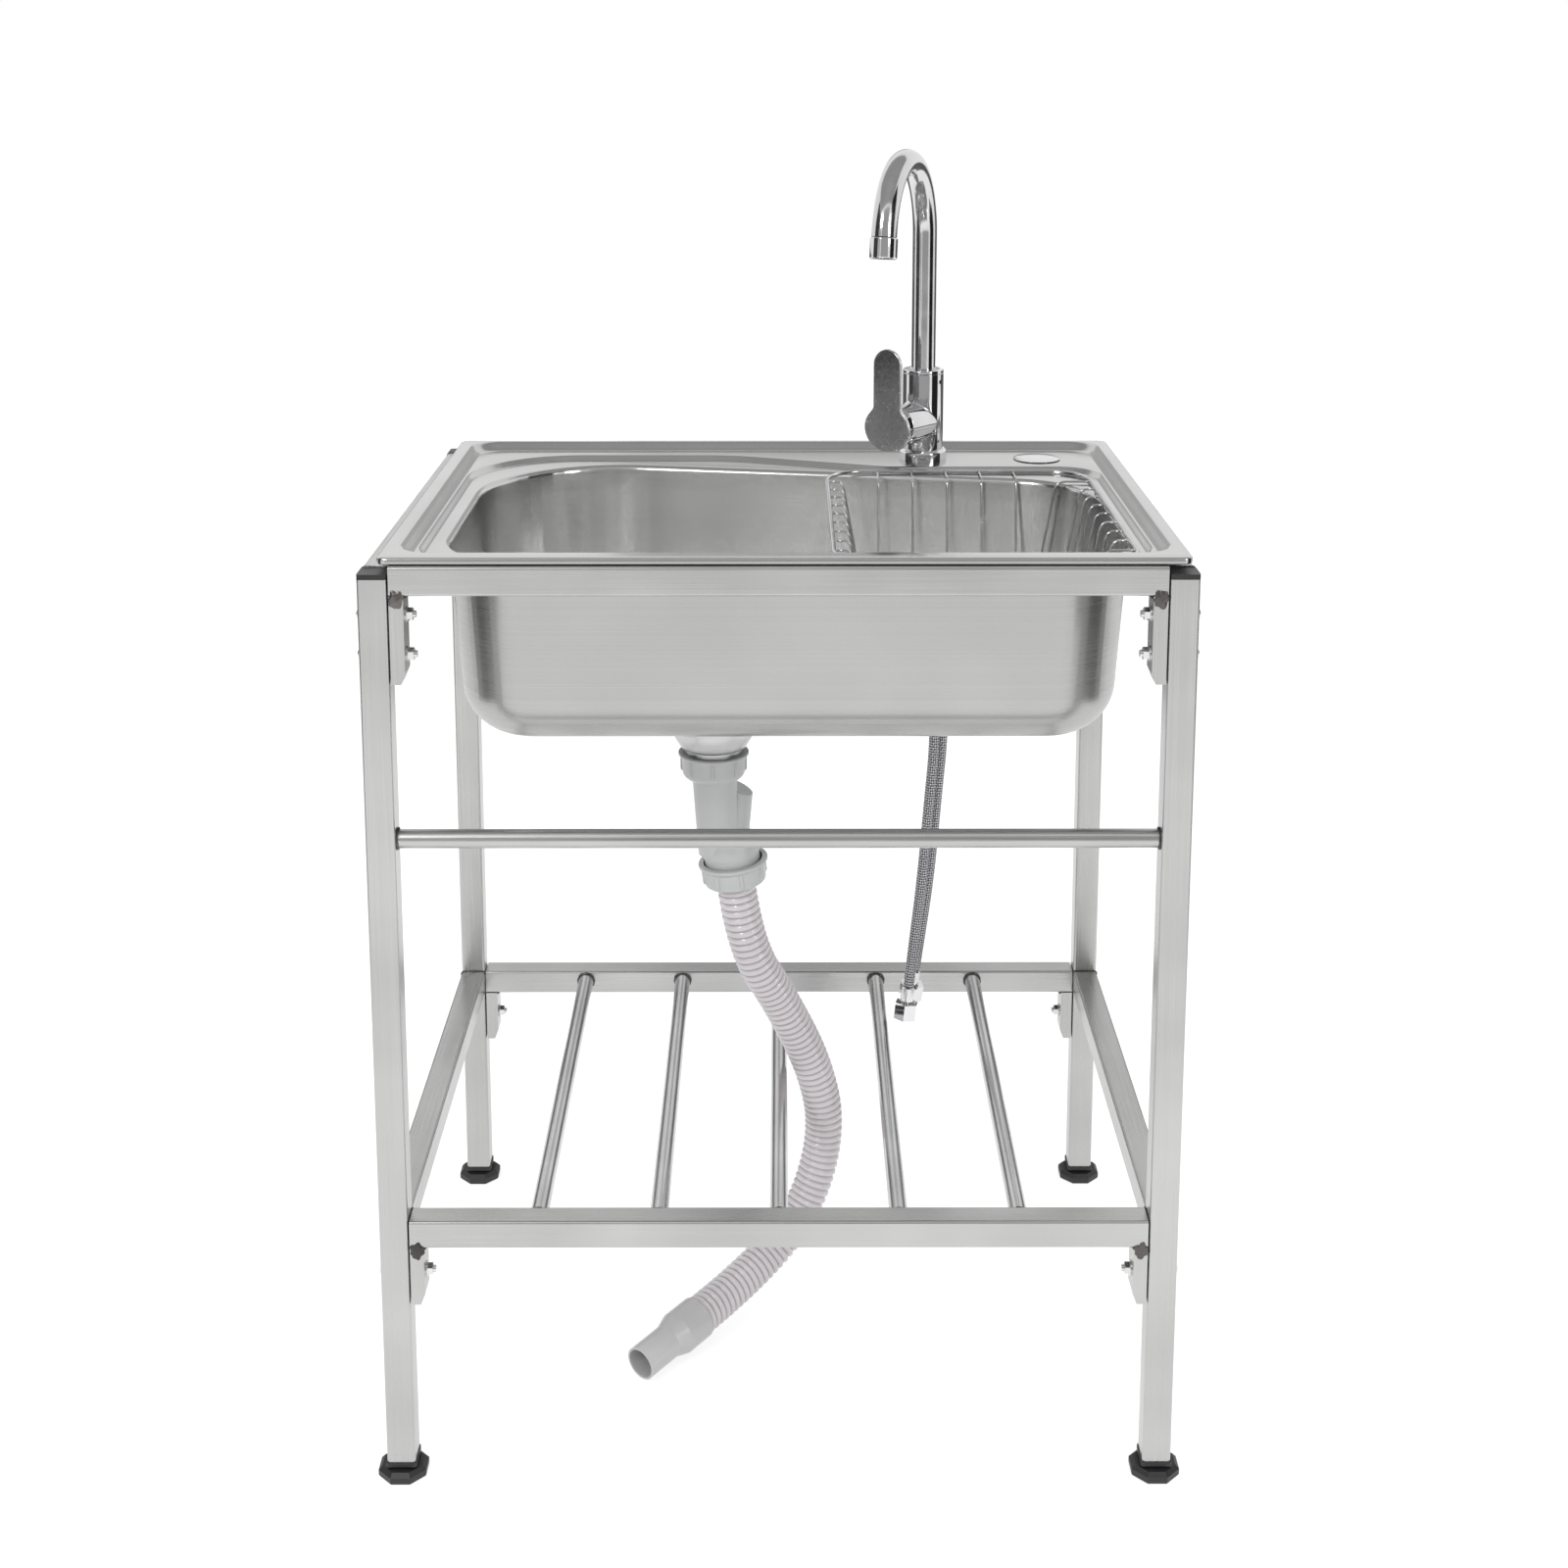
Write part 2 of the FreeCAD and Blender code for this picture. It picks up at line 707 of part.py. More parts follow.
def make_strainer():
    """Lift-out strainer cup: a rim that lies on the flange and a floor with rings of holes."""
    rim_low = flange_low + cup_wall + running_gap
    low_radius = strainer_diameter / 2 - strainer_taper
    rim_radius = strainer_diameter / 2 + strainer_rim
    floor_top = strainer_floor + strainer_wall
    cup_radius = strainer_diameter / 2
    shell = turned([(post_radius, strainer_floor), (low_radius, strainer_floor), (cup_radius, rim_low),
                    (rim_radius, rim_low), (rim_radius, rim_low + strainer_wall),
                    (cup_radius - strainer_wall, rim_low + strainer_wall),
                    (low_radius - strainer_wall, floor_top), (post_radius, floor_top)], drain)
    holes = []
    for row in range(1, strainer_rows + 1):
        count = strainer_row_step * (row + 1)
        for i in range(count):
            angle = 2 * math.pi * i / count
            reach = strainer_row_pitch * (row + 0.5)
            spot = V(drain_x + reach * math.cos(angle), drain_y + reach * math.sin(angle),
                     strainer_floor - 1)
            holes.append(rod(strainer_hole / 2, spot, spot.add(V(0, 0, strainer_wall + 2))))
    return shell.cut(holes)


def make_plug():
    """Rubber stopper under the strainer, on the post that ends in the lifting knob."""
    low = strainer_floor - stopper_height
    top = strainer_floor + strainer_wall + knob_height
    return turned([(0, low), (stopper_radius - stopper_edge, low), (stopper_radius, low + stopper_edge),
                   (stopper_radius - stopper_edge, strainer_floor), (post_radius, strainer_floor),
                   (post_radius, top - knob_depth), (knob_radius, top - knob_depth + knob_edge),
                   (knob_radius, top - knob_edge), (knob_radius - knob_edge, top), (0, top)], drain)


def make_slip_nut(start, axis, bore):
    """Plastic slip nut with lugs, a flange at its open end and a drawn-in mouth."""
    flange = nut_flange_diameter / 2
    body = nut_body_diameter / 2
    inner = neck_diameter / 2
    shoulder = nut_height - nut_roof
    profile = [(flange, 0), (flange, nut_flange_height), (body, nut_flange_height + nut_flange_slope),
               (body - nut_draft, shoulder), (bore + nut_mouth, nut_height), (bore, nut_height),
               (bore, shoulder), (inner, shoulder), (inner, 0)]
    nut = turned(profile, V(0, 0, 0))
    lug = Part.makeBox(lug_depth, lug_width, shoulder - 2 * lug_margin,
                       V(body - lug_bite, -lug_width / 2, lug_margin))
    lugs = []
    for i in range(nut_lugs):
        piece = lug.copy()
        piece.rotate(V(0, 0, 0), Z_AXIS, i * 360 / nut_lugs)
        lugs.append(piece)
    nut = nut.fuse(lugs)
    return lay(nut, start, axis)


tail_way = V(math.sin(math.radians(tail_lean)), 0, -math.cos(math.radians(tail_lean)))
tail_start = V(drain_x, drain_y, neck_bottom - tail_collar_gap)
hose_way = hose_route[1].sub(hose_route[0]).normalize()
hose_nut_start = hose_route[0].sub(V(hose_way).multiply(nut_height))


def fitting_volume(skin, past):
    """Tail tube, bulb, side branch and outlet, thinner by a skin and longer by past at its ends."""
    trunk_start = tail_start.sub(V(tail_way).multiply(past))
    trunk_end = tail_start.add(V(tail_way).multiply(tail_start.z - outlet_height))
    bulb = V(drain_x + outlet_offset, drain_y + outlet_back, outlet_height + outlet_rise)
    branch_end = V(bulb.x + branch_lean_right, bulb.y + branch_lean_back, branch_top + branch_spare)
    branch = rod(branch_diameter / 2 - skin, bulb, branch_end)
    roof = Part.makeBox(roof_block, roof_block, roof_block, V(-roof_block / 2, -roof_block / 2, 0))
    roof.rotate(V(0, 0, 0), Y_AXIS, branch_slant)
    roof.translate(V(branch_end.x, branch_end.y, branch_top - skin))
    outlet = rod(nut_neck / 2 - skin, bulb, hose_nut_start.add(V(hose_way).multiply(outlet_entry + past)))
    trunk = rod(tail_diameter / 2 - skin, trunk_start, trunk_end)
    ball = Part.makeSphere(outlet_bulb / 2 - skin, bulb)
    return trunk.fuse([ball, branch.cut(roof), outlet])


def make_tail_pipe():
    """Moulded grey fitting: flanged inlet, side branch with a closed slanted top, and an outlet."""
    collar_top = tail_start.sub(V(0, 0, tail_collar_height))
    collar = rod(neck_diameter / 2 - tail_collar_gap, tail_start, collar_top)
    return fitting_volume(0, 0).fuse(collar).cut(fitting_volume(tail_wall, tail_opening))


# ---- hoses -------------------------------------------------------------------------------
def bent_path(points, cut_rule):
    """Straight runs joined by tangent arcs; the rule gives how much a corner takes off its runs."""
    edges = []
    last = points[0]
    radii = []
    for i in range(1, len(points) - 1):
        back = points[i - 1].sub(points[i])
        ahead = points[i + 1].sub(points[i])
        half_turn = (math.pi - back.getAngle(ahead)) / 2
        cut = cut_rule(min(back.Length, ahead.Length), half_turn)
        radius = cut / math.tan(half_turn)
        back.normalize()
        ahead.normalize()
        start = points[i].add(V(back).multiply(cut))
        end = points[i].add(V(ahead).multiply(cut))
        inward = back.add(ahead).normalize()
        centre = points[i].add(V(inward).multiply(radius / math.cos(half_turn)))
        middle = centre.sub(V(inward).multiply(radius))
        edges.append(Part.LineSegment(last, start).toShape())
        edges.append(Part.Arc(start, middle, end).toShape())
        radii.append(round(radius))
        last = end
    edges.append(Part.LineSegment(last, points[-1]).toShape())
    return Part.Wire(edges), radii


def cord_path(points):
    """Path of a hose, its bends as easy as its runs allow."""
    path, radii = bent_path(points, lambda run, half_turn: 0.45 * run)
    print("bend radii", radii)
    return path


def swept(path, points, radius):
    circle = Part.Wire(Part.makeCircle(radius, points[0], points[1].sub(points[0])))
    return path.makePipeShell([circle], True, False)


def make_tube(points, radius):
    path = cord_path(points)
    tube_solid = swept(path, points, radius)
    share = tube_solid.Volume / (math.pi * radius ** 2 * path.Length)
    print("cord length", round(path.Length), "volume share", round(share, 3))
    return tube_solid


def point_along(path, distance):
    """Point and direction at a distance along a wire of edges in order."""
    for edge in path.Edges:
        if distance <= edge.Length or edge.isSame(path.Edges[-1]):
            place = edge.getParameterByLength(min(distance, edge.Length))
            return edge.valueAt(place), edge.tangentAt(place)
        distance -= edge.Length


def make_ribbed_hose():
    """Ribbed waste hose with its bore: four circles a rib, all started from a steady X axis."""
    path = cord_path(hose_route)
    plain = hose_diameter
    count = int((path.Length - 2 * plain) // rib_pitch)
    pitch = (path.Length - 2 * plain) / count
    stations = [(0.0, hose_valley / 2), (plain, hose_valley / 2)]
    for i in range(count):
        start = plain + pitch * i
        edge = (1 - rib_crest) / 4
        for share, diameter in ((edge, hose_valley), (2 * edge, hose_diameter),
                                (1 - 2 * edge, hose_diameter), (1 - edge, hose_valley)):
            stations.append((start + pitch * share, diameter / 2))
    stations.append((path.Length - plain, hose_valley / 2))
    stations.append((path.Length, hose_valley / 2))
    outer = []
    inner = []
    for distance, radius in stations:
        spot, way = point_along(path, distance)
        side = X_AXIS.sub(V(way).multiply(X_AXIS.dot(way)))
        for wires, size in ((outer, radius), (inner, hose_bore / 2)):
            circle = Part.Circle(spot, way, size)
            circle.XAxis = side
            wires.append(Part.Wire(circle.toShape()))
    hose = Part.makeLoft(outer, True, True)
    bore = Part.makeLoft([inner[0]] + inner[1:-1:2] + [inner[-1]], True, True)
    print("hose length", round(path.Length), "ribs", count)
    return hose.cut(bore)


def make_cuff():
    """Smooth end piece of the waste hose, stepped down to a plain spigot."""
    way = hose_route[-1].sub(hose_route[-2]).normalize()
    big = cuff_diameter / 2
    small = cuff_tube_diameter / 2
    mouth = hose_bore / 2 - cuff_step
    reach = cuff_length + cuff_taper
    profile = [(mouth, 0), (big - cuff_edge, 0), (big, cuff_edge), (big, cuff_length), (small, reach),
               (small, reach + cuff_tube_length), (small - cuff_wall, reach + cuff_tube_length),
               (small - cuff_wall, reach - cuff_wall), (mouth, reach - cuff_wall)]
    return lay(turned(profile, V(0, 0, 0)), hose_route[-1], way)


def save_plumbing():
    save("sink", make_sink())
    pad = rounded_block(pad_left, pad_right, pad_front, pad_back, pad_corner,
                        bowl_floor - sheet - pad_height, bowl_floor - sheet)
    clear = rod(lock_ring_diameter / 2 + pad_clearance, drain, drain.add(V(0, 0, bowl_floor)))
    save("sound_pad", pad.cut(clear))
    save("drain_cup", make_drain_cup())
    under = flange_low - sheet
    seal_low = drain.add(V(0, 0, under - seal_height))
    ring_low = drain.add(V(0, 0, under - seal_height - lock_ring_height))
    save("drain_seal", ring(lock_ring_diameter / 2, cup_diameter / 2, seal_low, drain.add(V(0, 0, under))))
    save("drain_lock_ring", ring(lock_ring_diameter / 2, cup_diameter / 2, ring_low, seal_low))
    save("strainer", make_strainer())
    save("strainer_plug", make_plug())
    nut_top = V(drain_x, drain_y, cup_bottom - nut_drop)
    save("drain_nut", make_slip_nut(nut_top, V(0, 0, -1), tail_diameter / 2 + nut_bore_gap))
    save("tail_pipe", make_tail_pipe())
    save("hose_nut", make_slip_nut(hose_nut_start, hose_way, hose_bore / 2))
    save("waste_hose", make_ribbed_hose())
    save("hose_cuff", make_cuff())


# ---- faucet ------------------------------------------------------------------------------
faucet = V(faucet_x, faucet_y, 0)
body_low = deck_top + base_height
body_end = body_top - collar_height
shank_low = deck_top - shank_length
heading = math.radians(housing_heading)
housing_way = V(-math.sin(heading), -math.cos(heading), 0)
housing_side = V(math.cos(heading), -math.sin(heading), 0)
spout_way = V(-math.sin(math.radians(spout_heading)), -math.cos(math.radians(spout_heading)), 0)
screw_turn = math.radians(spout_screw_heading)
screw_way = V(math.sin(screw_turn), -math.cos(screw_turn), 0)
screw_axis_start = V(faucet_x, faucet_y, spout_screw_height)


def toward_lever(shape):
    """Place a piece made with +Z along the cartridge housing and +Y up."""
    piece = shape.copy()
    turn = FreeCAD.Rotation(housing_side, Z_AXIS, housing_way, "ZXY")
    piece.Placement = FreeCAD.Placement(V(faucet_x, faucet_y, housing_height), turn)
    return piece


def make_faucet_body():
    """Cast body with a threaded floor, a socket for the spout and the cartridge housing."""
    def upright(diameter, low, high):
        return rod(diameter / 2, V(faucet_x, faucet_y, low), V(faucet_x, faucet_y, high))

    socket_low = body_end - spigot_depth - collar_height
    floor_top = body_low + body_floor
    housing = toward_lever(rod(housing_diameter / 2, V(0, 0, 0), V(0, 0, housing_end)))
    cast = upright(body_diameter, body_low, body_end).fuse(housing)
    cavities = [upright(shank_diameter, body_low - 1, floor_top),
                upright(body_cavity, floor_top, socket_low),
                upright(spigot_diameter + 2 * spigot_clearance, socket_low, body_end + 1)]
    bore = toward_lever(rod(cartridge_diameter / 2, V(0, 0, cartridge_start), V(0, 0, housing_end + 1)))
    screw_hole = rod(spout_screw_diameter / 2, screw_axis_start,
                     screw_axis_start.add(V(screw_way).multiply(body_diameter)))
    return cast.cut(cavities + [bore, screw_hole])


def make_spout():
    """Swan-neck spout: shouldered spigot, straight riser and one long bend."""
    outer = spout_diameter / 2
    inner = outer - spout_wall
    low = body_end + running_gap
    passage = spigot_diameter / 2 - spout_wall
    riser = turned([(passage, body_end - spigot_depth), (spigot_diameter / 2, body_end - spigot_depth),
                    (spigot_diameter / 2, low), (outer, low), (outer, spout_centre_z),
                    (inner, spout_centre_z), (inner, low + 2 * spout_wall),
                    (passage, low + 2 * spout_wall)], faucet)
    top = V(faucet_x, faucet_y, spout_centre_z)
    centre = top.add(V(spout_way).multiply(spout_radius))
    discs = [Part.Face(Part.Wire(Part.makeCircle(radius, top, Z_AXIS))) for radius in (outer, inner)]
    full, hollow = [disc.revolve(centre, Z_AXIS.cross(spout_way), spout_arc) for disc in discs]
    return riser.fuse(full.cut(hollow))


def outlet_place():
    """End of the spout's bend and the way the water leaves it."""
    turn = math.radians(spout_arc)
    across_bend = V(spout_way).multiply(spout_radius * (1 - math.cos(turn)))
    spot = V(faucet_x, faucet_y, spout_centre_z).add(across_bend)
    spot.z += spout_radius * math.sin(turn)
    return spot, V(spout_way).multiply(math.sin(turn)).add(V(0, 0, math.cos(turn)))


def make_lever():
    """Hub over the domed bonnet, with an oval plate that rises into the handle."""
    hub = rod(housing_diameter / 2 - running_gap, V(0, 0, hub_start), V(0, 0, hub_end))
    hollow = Part.makeSphere(bonnet_radius + bonnet_gap, V(0, 0, pivot_reach))
    hollow = hollow.common(rod(housing_diameter, V(0, 0, 0), V(0, 0, hub_socket_end)))
    oval = Part.Ellipse(V(0, 0, hub_end), paddle_wide / 2, paddle_tall / 2).toShape()
    plate = Part.Face(Part.Wire(oval)).extrude(V(0, 0, paddle_end - hub_end))
    half = handle_width / 2
    side_top = handle_top - half
    outline = Part.Wire([Part.LineSegment(V(-half, 0, hub_end), V(half, 0, hub_end)).toShape(),
                         Part.LineSegment(V(half, 0, hub_end), V(half, side_top, hub_end)).toShape(),
                         Part.Arc(V(half, side_top, hub_end), V(0, handle_top, hub_end),
                                  V(-half, side_top, hub_end)).toShape(),
                         Part.LineSegment(V(-half, side_top, hub_end), V(-half, 0, hub_end)).toShape()])
    handle = Part.Face(outline).extrude(V(0, 0, paddle_end - hub_end))
    return toward_lever(hub.cut(hollow).fuse([plate, handle]).removeSplitter())


def make_bonnet():
    dome = Part.makeSphere(bonnet_radius, V(0, 0, pivot_reach))
    dome = dome.common(rod(housing_diameter, V(0, 0, housing_end), V(0, 0, bonnet_end)))
    skirt = rod(cartridge_diameter / 2, V(0, 0, cartridge_end), V(0, 0, housing_end))
    opening = rod(bonnet_hole / 2, V(0, 0, pivot_reach), V(0, 0, hub_end))
    return toward_lever(dome.fuse(skirt).cut(opening))


def make_cartridge():
    """Ceramic-disc cartridge shell round the turning carrier."""
    shell = rod(cartridge_diameter / 2, V(0, 0, cartridge_start), V(0, 0, cartridge_end))
    room = rod(carrier_diameter / 2 + running_gap, V(0, 0, carrier_start - running_gap),
               V(0, 0, carrier_end + running_gap))
    mouth = rod(bonnet_hole / 2, V(0, 0, carrier_end), V(0, 0, cartridge_end + 1))
    return toward_lever(shell.cut([room, mouth]))


def make_carrier():
    """Turning disc with two ears that hold the lever's pin."""
    disc = rod(carrier_diameter / 2, V(0, 0, carrier_start), V(0, 0, carrier_end))
    ears = []
    for side in (-1, 1):
        round_end = rod(ear_radius, V(side * ear_inner, 0, pivot_reach),
                        V(side * ear_outer, 0, pivot_reach))
        low = V(min(side * ear_inner, side * ear_outer), -ear_radius, carrier_start)
        foot = Part.makeBox(ear_outer - ear_inner, 2 * ear_radius, pivot_reach - carrier_start, low)
        ears += [round_end, foot]
    bore = rod(lever_pin_radius + lever_pin_clearance, V(-ear_outer - 1, 0, pivot_reach),
               V(ear_outer + 1, 0, pivot_reach))
    return toward_lever(disc.fuse(ears).removeSplitter().cut(bore))


def make_stem():
    """Lever stem on its cross pin."""
    pin = rod(lever_pin_radius, V(-ear_outer, 0, pivot_reach), V(ear_outer, 0, pivot_reach))
    root = Part.makeSphere(stem_diameter / 2, V(0, 0, pivot_reach))
    shank = rod(stem_diameter / 2, V(0, 0, pivot_reach), V(0, 0, hub_socket_end))
    return toward_lever(root.fuse([shank, pin]).removeSplitter())


def make_hole_cover():
    """Domed cover of the spare tap hole, on its stud."""
    rise = (cover_diameter ** 2 / 4 + cover_rise ** 2) / (2 * cover_rise)
    dome = Part.makeSphere(rise, V(cover_x, cover_y, deck_top + cover_rise - rise))
    disc = rod(cover_diameter / 2, V(cover_x, cover_y, deck_top),
               V(cover_x, cover_y, deck_top + cover_rise))
    stud = rod(cover_stud / 2, V(cover_x, cover_y, deck_top - cover_stud_length),
               V(cover_x, cover_y, deck_top + 1))
    return dome.common(disc).fuse(stud)


def save_faucet():
    base = turned([(shank_diameter / 2, deck_top), (base_diameter / 2, deck_top),
                   (base_diameter / 2, body_low - base_chamfer),
                   (base_diameter / 2 - base_chamfer, body_low),
                   (shank_diameter / 2, body_low)], faucet)
    save("faucet_base", base)
    save("faucet_body", make_faucet_body())
    shank_inner = shank_diameter / 2 - 2 * spout_wall
    save("faucet_shank", turned([(0, shank_low), (shank_diameter / 2, shank_low),
                                 (shank_diameter / 2, body_low + body_floor),
                                 (shank_inner, body_low + body_floor),
                                 (shank_inner, shank_low + shank_floor),
                                 (0, shank_low + shank_floor)], faucet))
    under = deck_top - sheet
    washer_low = V(faucet_x, faucet_y, under - faucet_washer_height)
    washer_top = V(faucet_x, faucet_y, under)
    save("faucet_washer", ring(base_diameter / 2, shank_diameter / 2, washer_low, washer_top))
    nut = hexagon(faucet_nut_across, faucet_nut_height, washer_low, V(0, 0, -1))
    save("faucet_nut", nut.cut(rod(shank_diameter / 2, V(faucet_x, faucet_y, shank_low), washer_low)))
    bore = spout_diameter / 2 + running_gap
    save("spout_collar", turned([(bore, body_end), (body_diameter / 2, body_end),
                                 (body_diameter / 2, body_top - collar_chamfer),
                                 (body_diameter / 2 - collar_chamfer, body_top),
                                 (bore, body_top)], faucet))
    save("spout", make_spout())
    screw_start = screw_axis_start.add(V(screw_way).multiply(spigot_diameter / 2 + spout_screw_inset))
    screw_end = screw_axis_start.add(V(screw_way).multiply(body_diameter / 2 - spout_screw_inset))
    save("spout_screw", rod(spout_screw_diameter / 2, screw_start, screw_end))
    outlet, way = outlet_place()
    low = outlet.add(V(way).multiply(aerator_length))
    save("aerator", ring(aerator_diameter / 2, aerator_bore / 2, outlet, low))
    screen = rod(aerator_bore / 2, low.sub(V(way).multiply(2 * spout_wall)), low.sub(V(way).multiply(1)))
    save("aerator_screen", screen)
    save("cartridge", make_cartridge())
    save("cartridge_carrier", make_carrier())
    save("bonnet", make_bonnet())
    save("lever_stem", make_stem())
    save("lever", make_lever())
    save("hole_cover", make_hole_cover())
    cover_under = V(cover_x, cover_y, under)
    flange = rod(cover_diameter / 2, V(cover_x, cover_y, under - cover_flange_height), cover_under)
    grip = hexagon(cover_nut_across, cover_nut_height, cover_under, V(0, 0, -1))
    stud_bore = rod(cover_stud / 2, V(cover_x, cover_y, shank_low), V(cover_x, cover_y, deck_top))
    save("cover_nut", flange.fuse(grip).cut(stud_bore))


# ---- supply hoses ------------------------------------------------------------------------
def make_ferrule(start, way):
    """Crimped sleeve, then the tail and its collar that hold the swivel nut."""
    neck = ferrule_length + supply_tail_length
    sleeve = ferrule_diameter / 2
    tail = supply_tail_diameter / 2
    end = neck + supply_collar_height
    edge = ferrule_edge
    return lay(turned([(0, 0), (sleeve - edge, 0), (sleeve, edge), (sleeve, ferrule_length - edge),
                       (sleeve - edge, ferrule_length), (tail, ferrule_length), (tail, neck),
                       (supply_collar / 2, neck), (supply_collar / 2, end), (0, end)],
                      V(0, 0, 0)), start, way)


def make_supply_nut(start, way):
    """Hexagon swivel nut, open and threaded at its far end."""
    spot = start.add(V(way).multiply(ferrule_length + supply_nut_gap))
    nut = hexagon(supply_nut_across, supply_nut_height, V(0, 0, 0), Z_AXIS)
    thread_start = supply_nut_roof + supply_relief
    nut = nut.cut([rod(supply_tail_diameter / 2 + running_gap, V(0, 0, -1), V(0, 0, supply_nut_roof + 1)),
                   rod(supply_relief_radius, V(0, 0, supply_nut_roof), V(0, 0, thread_start)),
                   rod(supply_thread_radius, V(0, 0, thread_start), V(0, 0, supply_nut_height + 1))])
    return lay(nut, spot, way)


def save_supplies():
    ferrules = []
    for name, route in (("cold", cold_route), ("hot", hot_route)):
        way = route[-1].sub(route[-2]).normalize()
        save(name + "_hose", make_tube(route, supply_diameter / 2))
        ferrules.append(make_ferrule(route[-1], way))
        save(name + "_nut", make_supply_nut(route[-1], way))
    save("supply_ferrules", group(ferrules))


# ---- wire basket -------------------------------------------------------------------------
basket_top = shoulder_top + basket_above_shoulder + rim_wire / 2


def bowl_right_edge(y):
    """Wall of the bowl on the right at a distance back, drawn in by its rounded corners."""
    back_reach = y - bowl_right_centre_y
    front_reach = bowl_front + bowl_front_corner - y
    edge = bowl_right
    if back_reach > 0:
        edge -= bowl_right_corner - math.sqrt(bowl_right_corner ** 2 - back_reach ** 2)
    if front_reach > 0:
        edge -= bowl_front_corner - math.sqrt(bowl_front_corner ** 2 - front_reach ** 2)
    return edge


def make_u_wire(ends, turns, floor_z, place):
    """Wire bent down from the rim, along the floor and up again; place makes a point of (s, z)."""
    slope = basket_slope
    stops = [(ends[0], basket_top), (turns[0], basket_top), (turns[0] + slope, floor_z),
             (turns[1] - slope, floor_z), (turns[1], basket_top), (ends[1], basket_top)]
    points = [place(s, z) for s, z in stops]
    path = bent_path(points, lambda run, half_turn: mesh_bend * math.tan(half_turn))[0]
    return swept(path, points, mesh_wire / 2)


def make_basket_rim():
    """Closed rim wire: four runs and four corners, the back ones larger."""
    back = basket_back_corner
    front = basket_front_corner
    wire = rim_wire / 2
    corners_of_rim = [(basket_right - front, basket_front + front, front, -90),
                      (basket_right - back, basket_back - back, back, 0),
                      (basket_left + back, basket_back - back, back, 90),
                      (basket_left + front, basket_front + front, front, 180)]
    arcs = [arc_edge((x, y), radius, turn, turn + 90, basket_top) for x, y, radius, turn in corners_of_rim]
    path = joined(arcs)
    start = arcs[0][0]
    circle = Part.Wire(Part.makeCircle(wire, start, X_AXIS))
    return path.makePipeShell([circle], True, False)


def save_basket():
    save("basket_rim", make_basket_rim())
    reach = rim_wire / 2 - weld_bite
    cross = []
    for i in range(cross_wire_count):
        y = cross_wire_middle + cross_wire_pitch * (i - (cross_wire_count - 1) / 2)
        right_turn = min(basket_right - ledge_side, bowl_right_edge(y) - wall_margin)
        cross.append(make_u_wire((basket_left + reach, basket_right - reach),
                                 (basket_left + ledge_side, right_turn), basket_floor,
                                 lambda s, z, y=y: V(s, y, z)))
    save("basket_cross_wires", group(cross))
    long_wires = []
    for i in range(long_wire_count):
        x = long_wire_middle + long_wire_pitch * (i - (long_wire_count - 1) / 2)
        long_wires.append(make_u_wire((basket_front + reach, basket_back - reach),
                                      (basket_front + ledge_side, basket_back - ledge_back),
                                      basket_floor + mesh_wire, lambda s, z, x=x: V(x, s, z)))
    save("basket_long_wires", group(long_wires))


os.makedirs("parts", exist_ok=True)
save_stand()
save_plumbing()
save_faucet()
save_supplies()
save_basket()
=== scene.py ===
import math

import bpy
import numpy as np
from mathutils import Matrix, Vector


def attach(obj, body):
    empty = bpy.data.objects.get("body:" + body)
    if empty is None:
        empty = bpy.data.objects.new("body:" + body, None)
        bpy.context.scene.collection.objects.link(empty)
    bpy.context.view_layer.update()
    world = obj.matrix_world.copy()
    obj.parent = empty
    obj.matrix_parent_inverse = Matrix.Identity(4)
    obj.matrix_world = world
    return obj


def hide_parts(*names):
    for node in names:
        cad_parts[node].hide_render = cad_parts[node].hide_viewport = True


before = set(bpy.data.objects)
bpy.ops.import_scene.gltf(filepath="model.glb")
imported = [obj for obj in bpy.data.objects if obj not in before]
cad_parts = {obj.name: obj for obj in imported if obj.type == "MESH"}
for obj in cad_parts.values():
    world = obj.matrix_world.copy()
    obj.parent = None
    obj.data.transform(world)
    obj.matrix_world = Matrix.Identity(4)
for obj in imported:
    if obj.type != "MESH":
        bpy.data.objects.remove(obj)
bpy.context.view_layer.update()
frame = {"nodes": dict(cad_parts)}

mm = 0.001
up = Vector((0, 0, 1))


# the camera, at the photograph's place: level with the faucet and looking slightly down
cameraSetup = {"place": (1.4, -1989.4, 1272.3), "tiltDown": 10.17, "turnLeft": -0.1, "lens": 50.09,
               "shiftUp": -0.242}


def placeCamera(setup=cameraSetup):
    data = bpy.data.cameras.new("frontCamera")
    data.lens = setup["lens"]
    data.sensor_width = 36
    data.shift_y = setup["shiftUp"]
    data.clip_end = 50
    camera = bpy.data.objects.new("frontCamera", data)
    camera.location = Vector(setup["place"]) * mm
    camera.rotation_euler = (math.radians(90 - setup["tiltDown"]), 0, math.radians(setup["turnLeft"]))
    bpy.context.scene.collection.objects.link(camera)
    bpy.context.scene.camera = camera


placeCamera()
bpy.context.scene.view_settings.view_transform = "Standard"


# mesh helpers; every length given to them is in metres
def makeMesh(name, points, faces, uvs=None, smooth=True):
    mesh = bpy.data.meshes.new(name)
    mesh.from_pydata([tuple(p) for p in points], [], faces)
    if uvs is not None:
        layer = mesh.uv_layers.new(name="surface")
        for loop in mesh.loops:
            layer.data[loop.index].uv = uvs[loop.vertex_index]
    mesh.polygons.foreach_set("use_smooth", [smooth] * len(mesh.polygons))
    mesh.update()
    piece = bpy.data.objects.new(name, mesh)
    bpy.context.scene.collection.objects.link(piece)
    return piece


def applyModifiers(piece):
    graph = bpy.context.evaluated_depsgraph_get()
    mesh = bpy.data.meshes.new_from_object(piece.evaluated_get(graph))
    piece.modifiers.clear()
    piece.data = mesh
    return piece


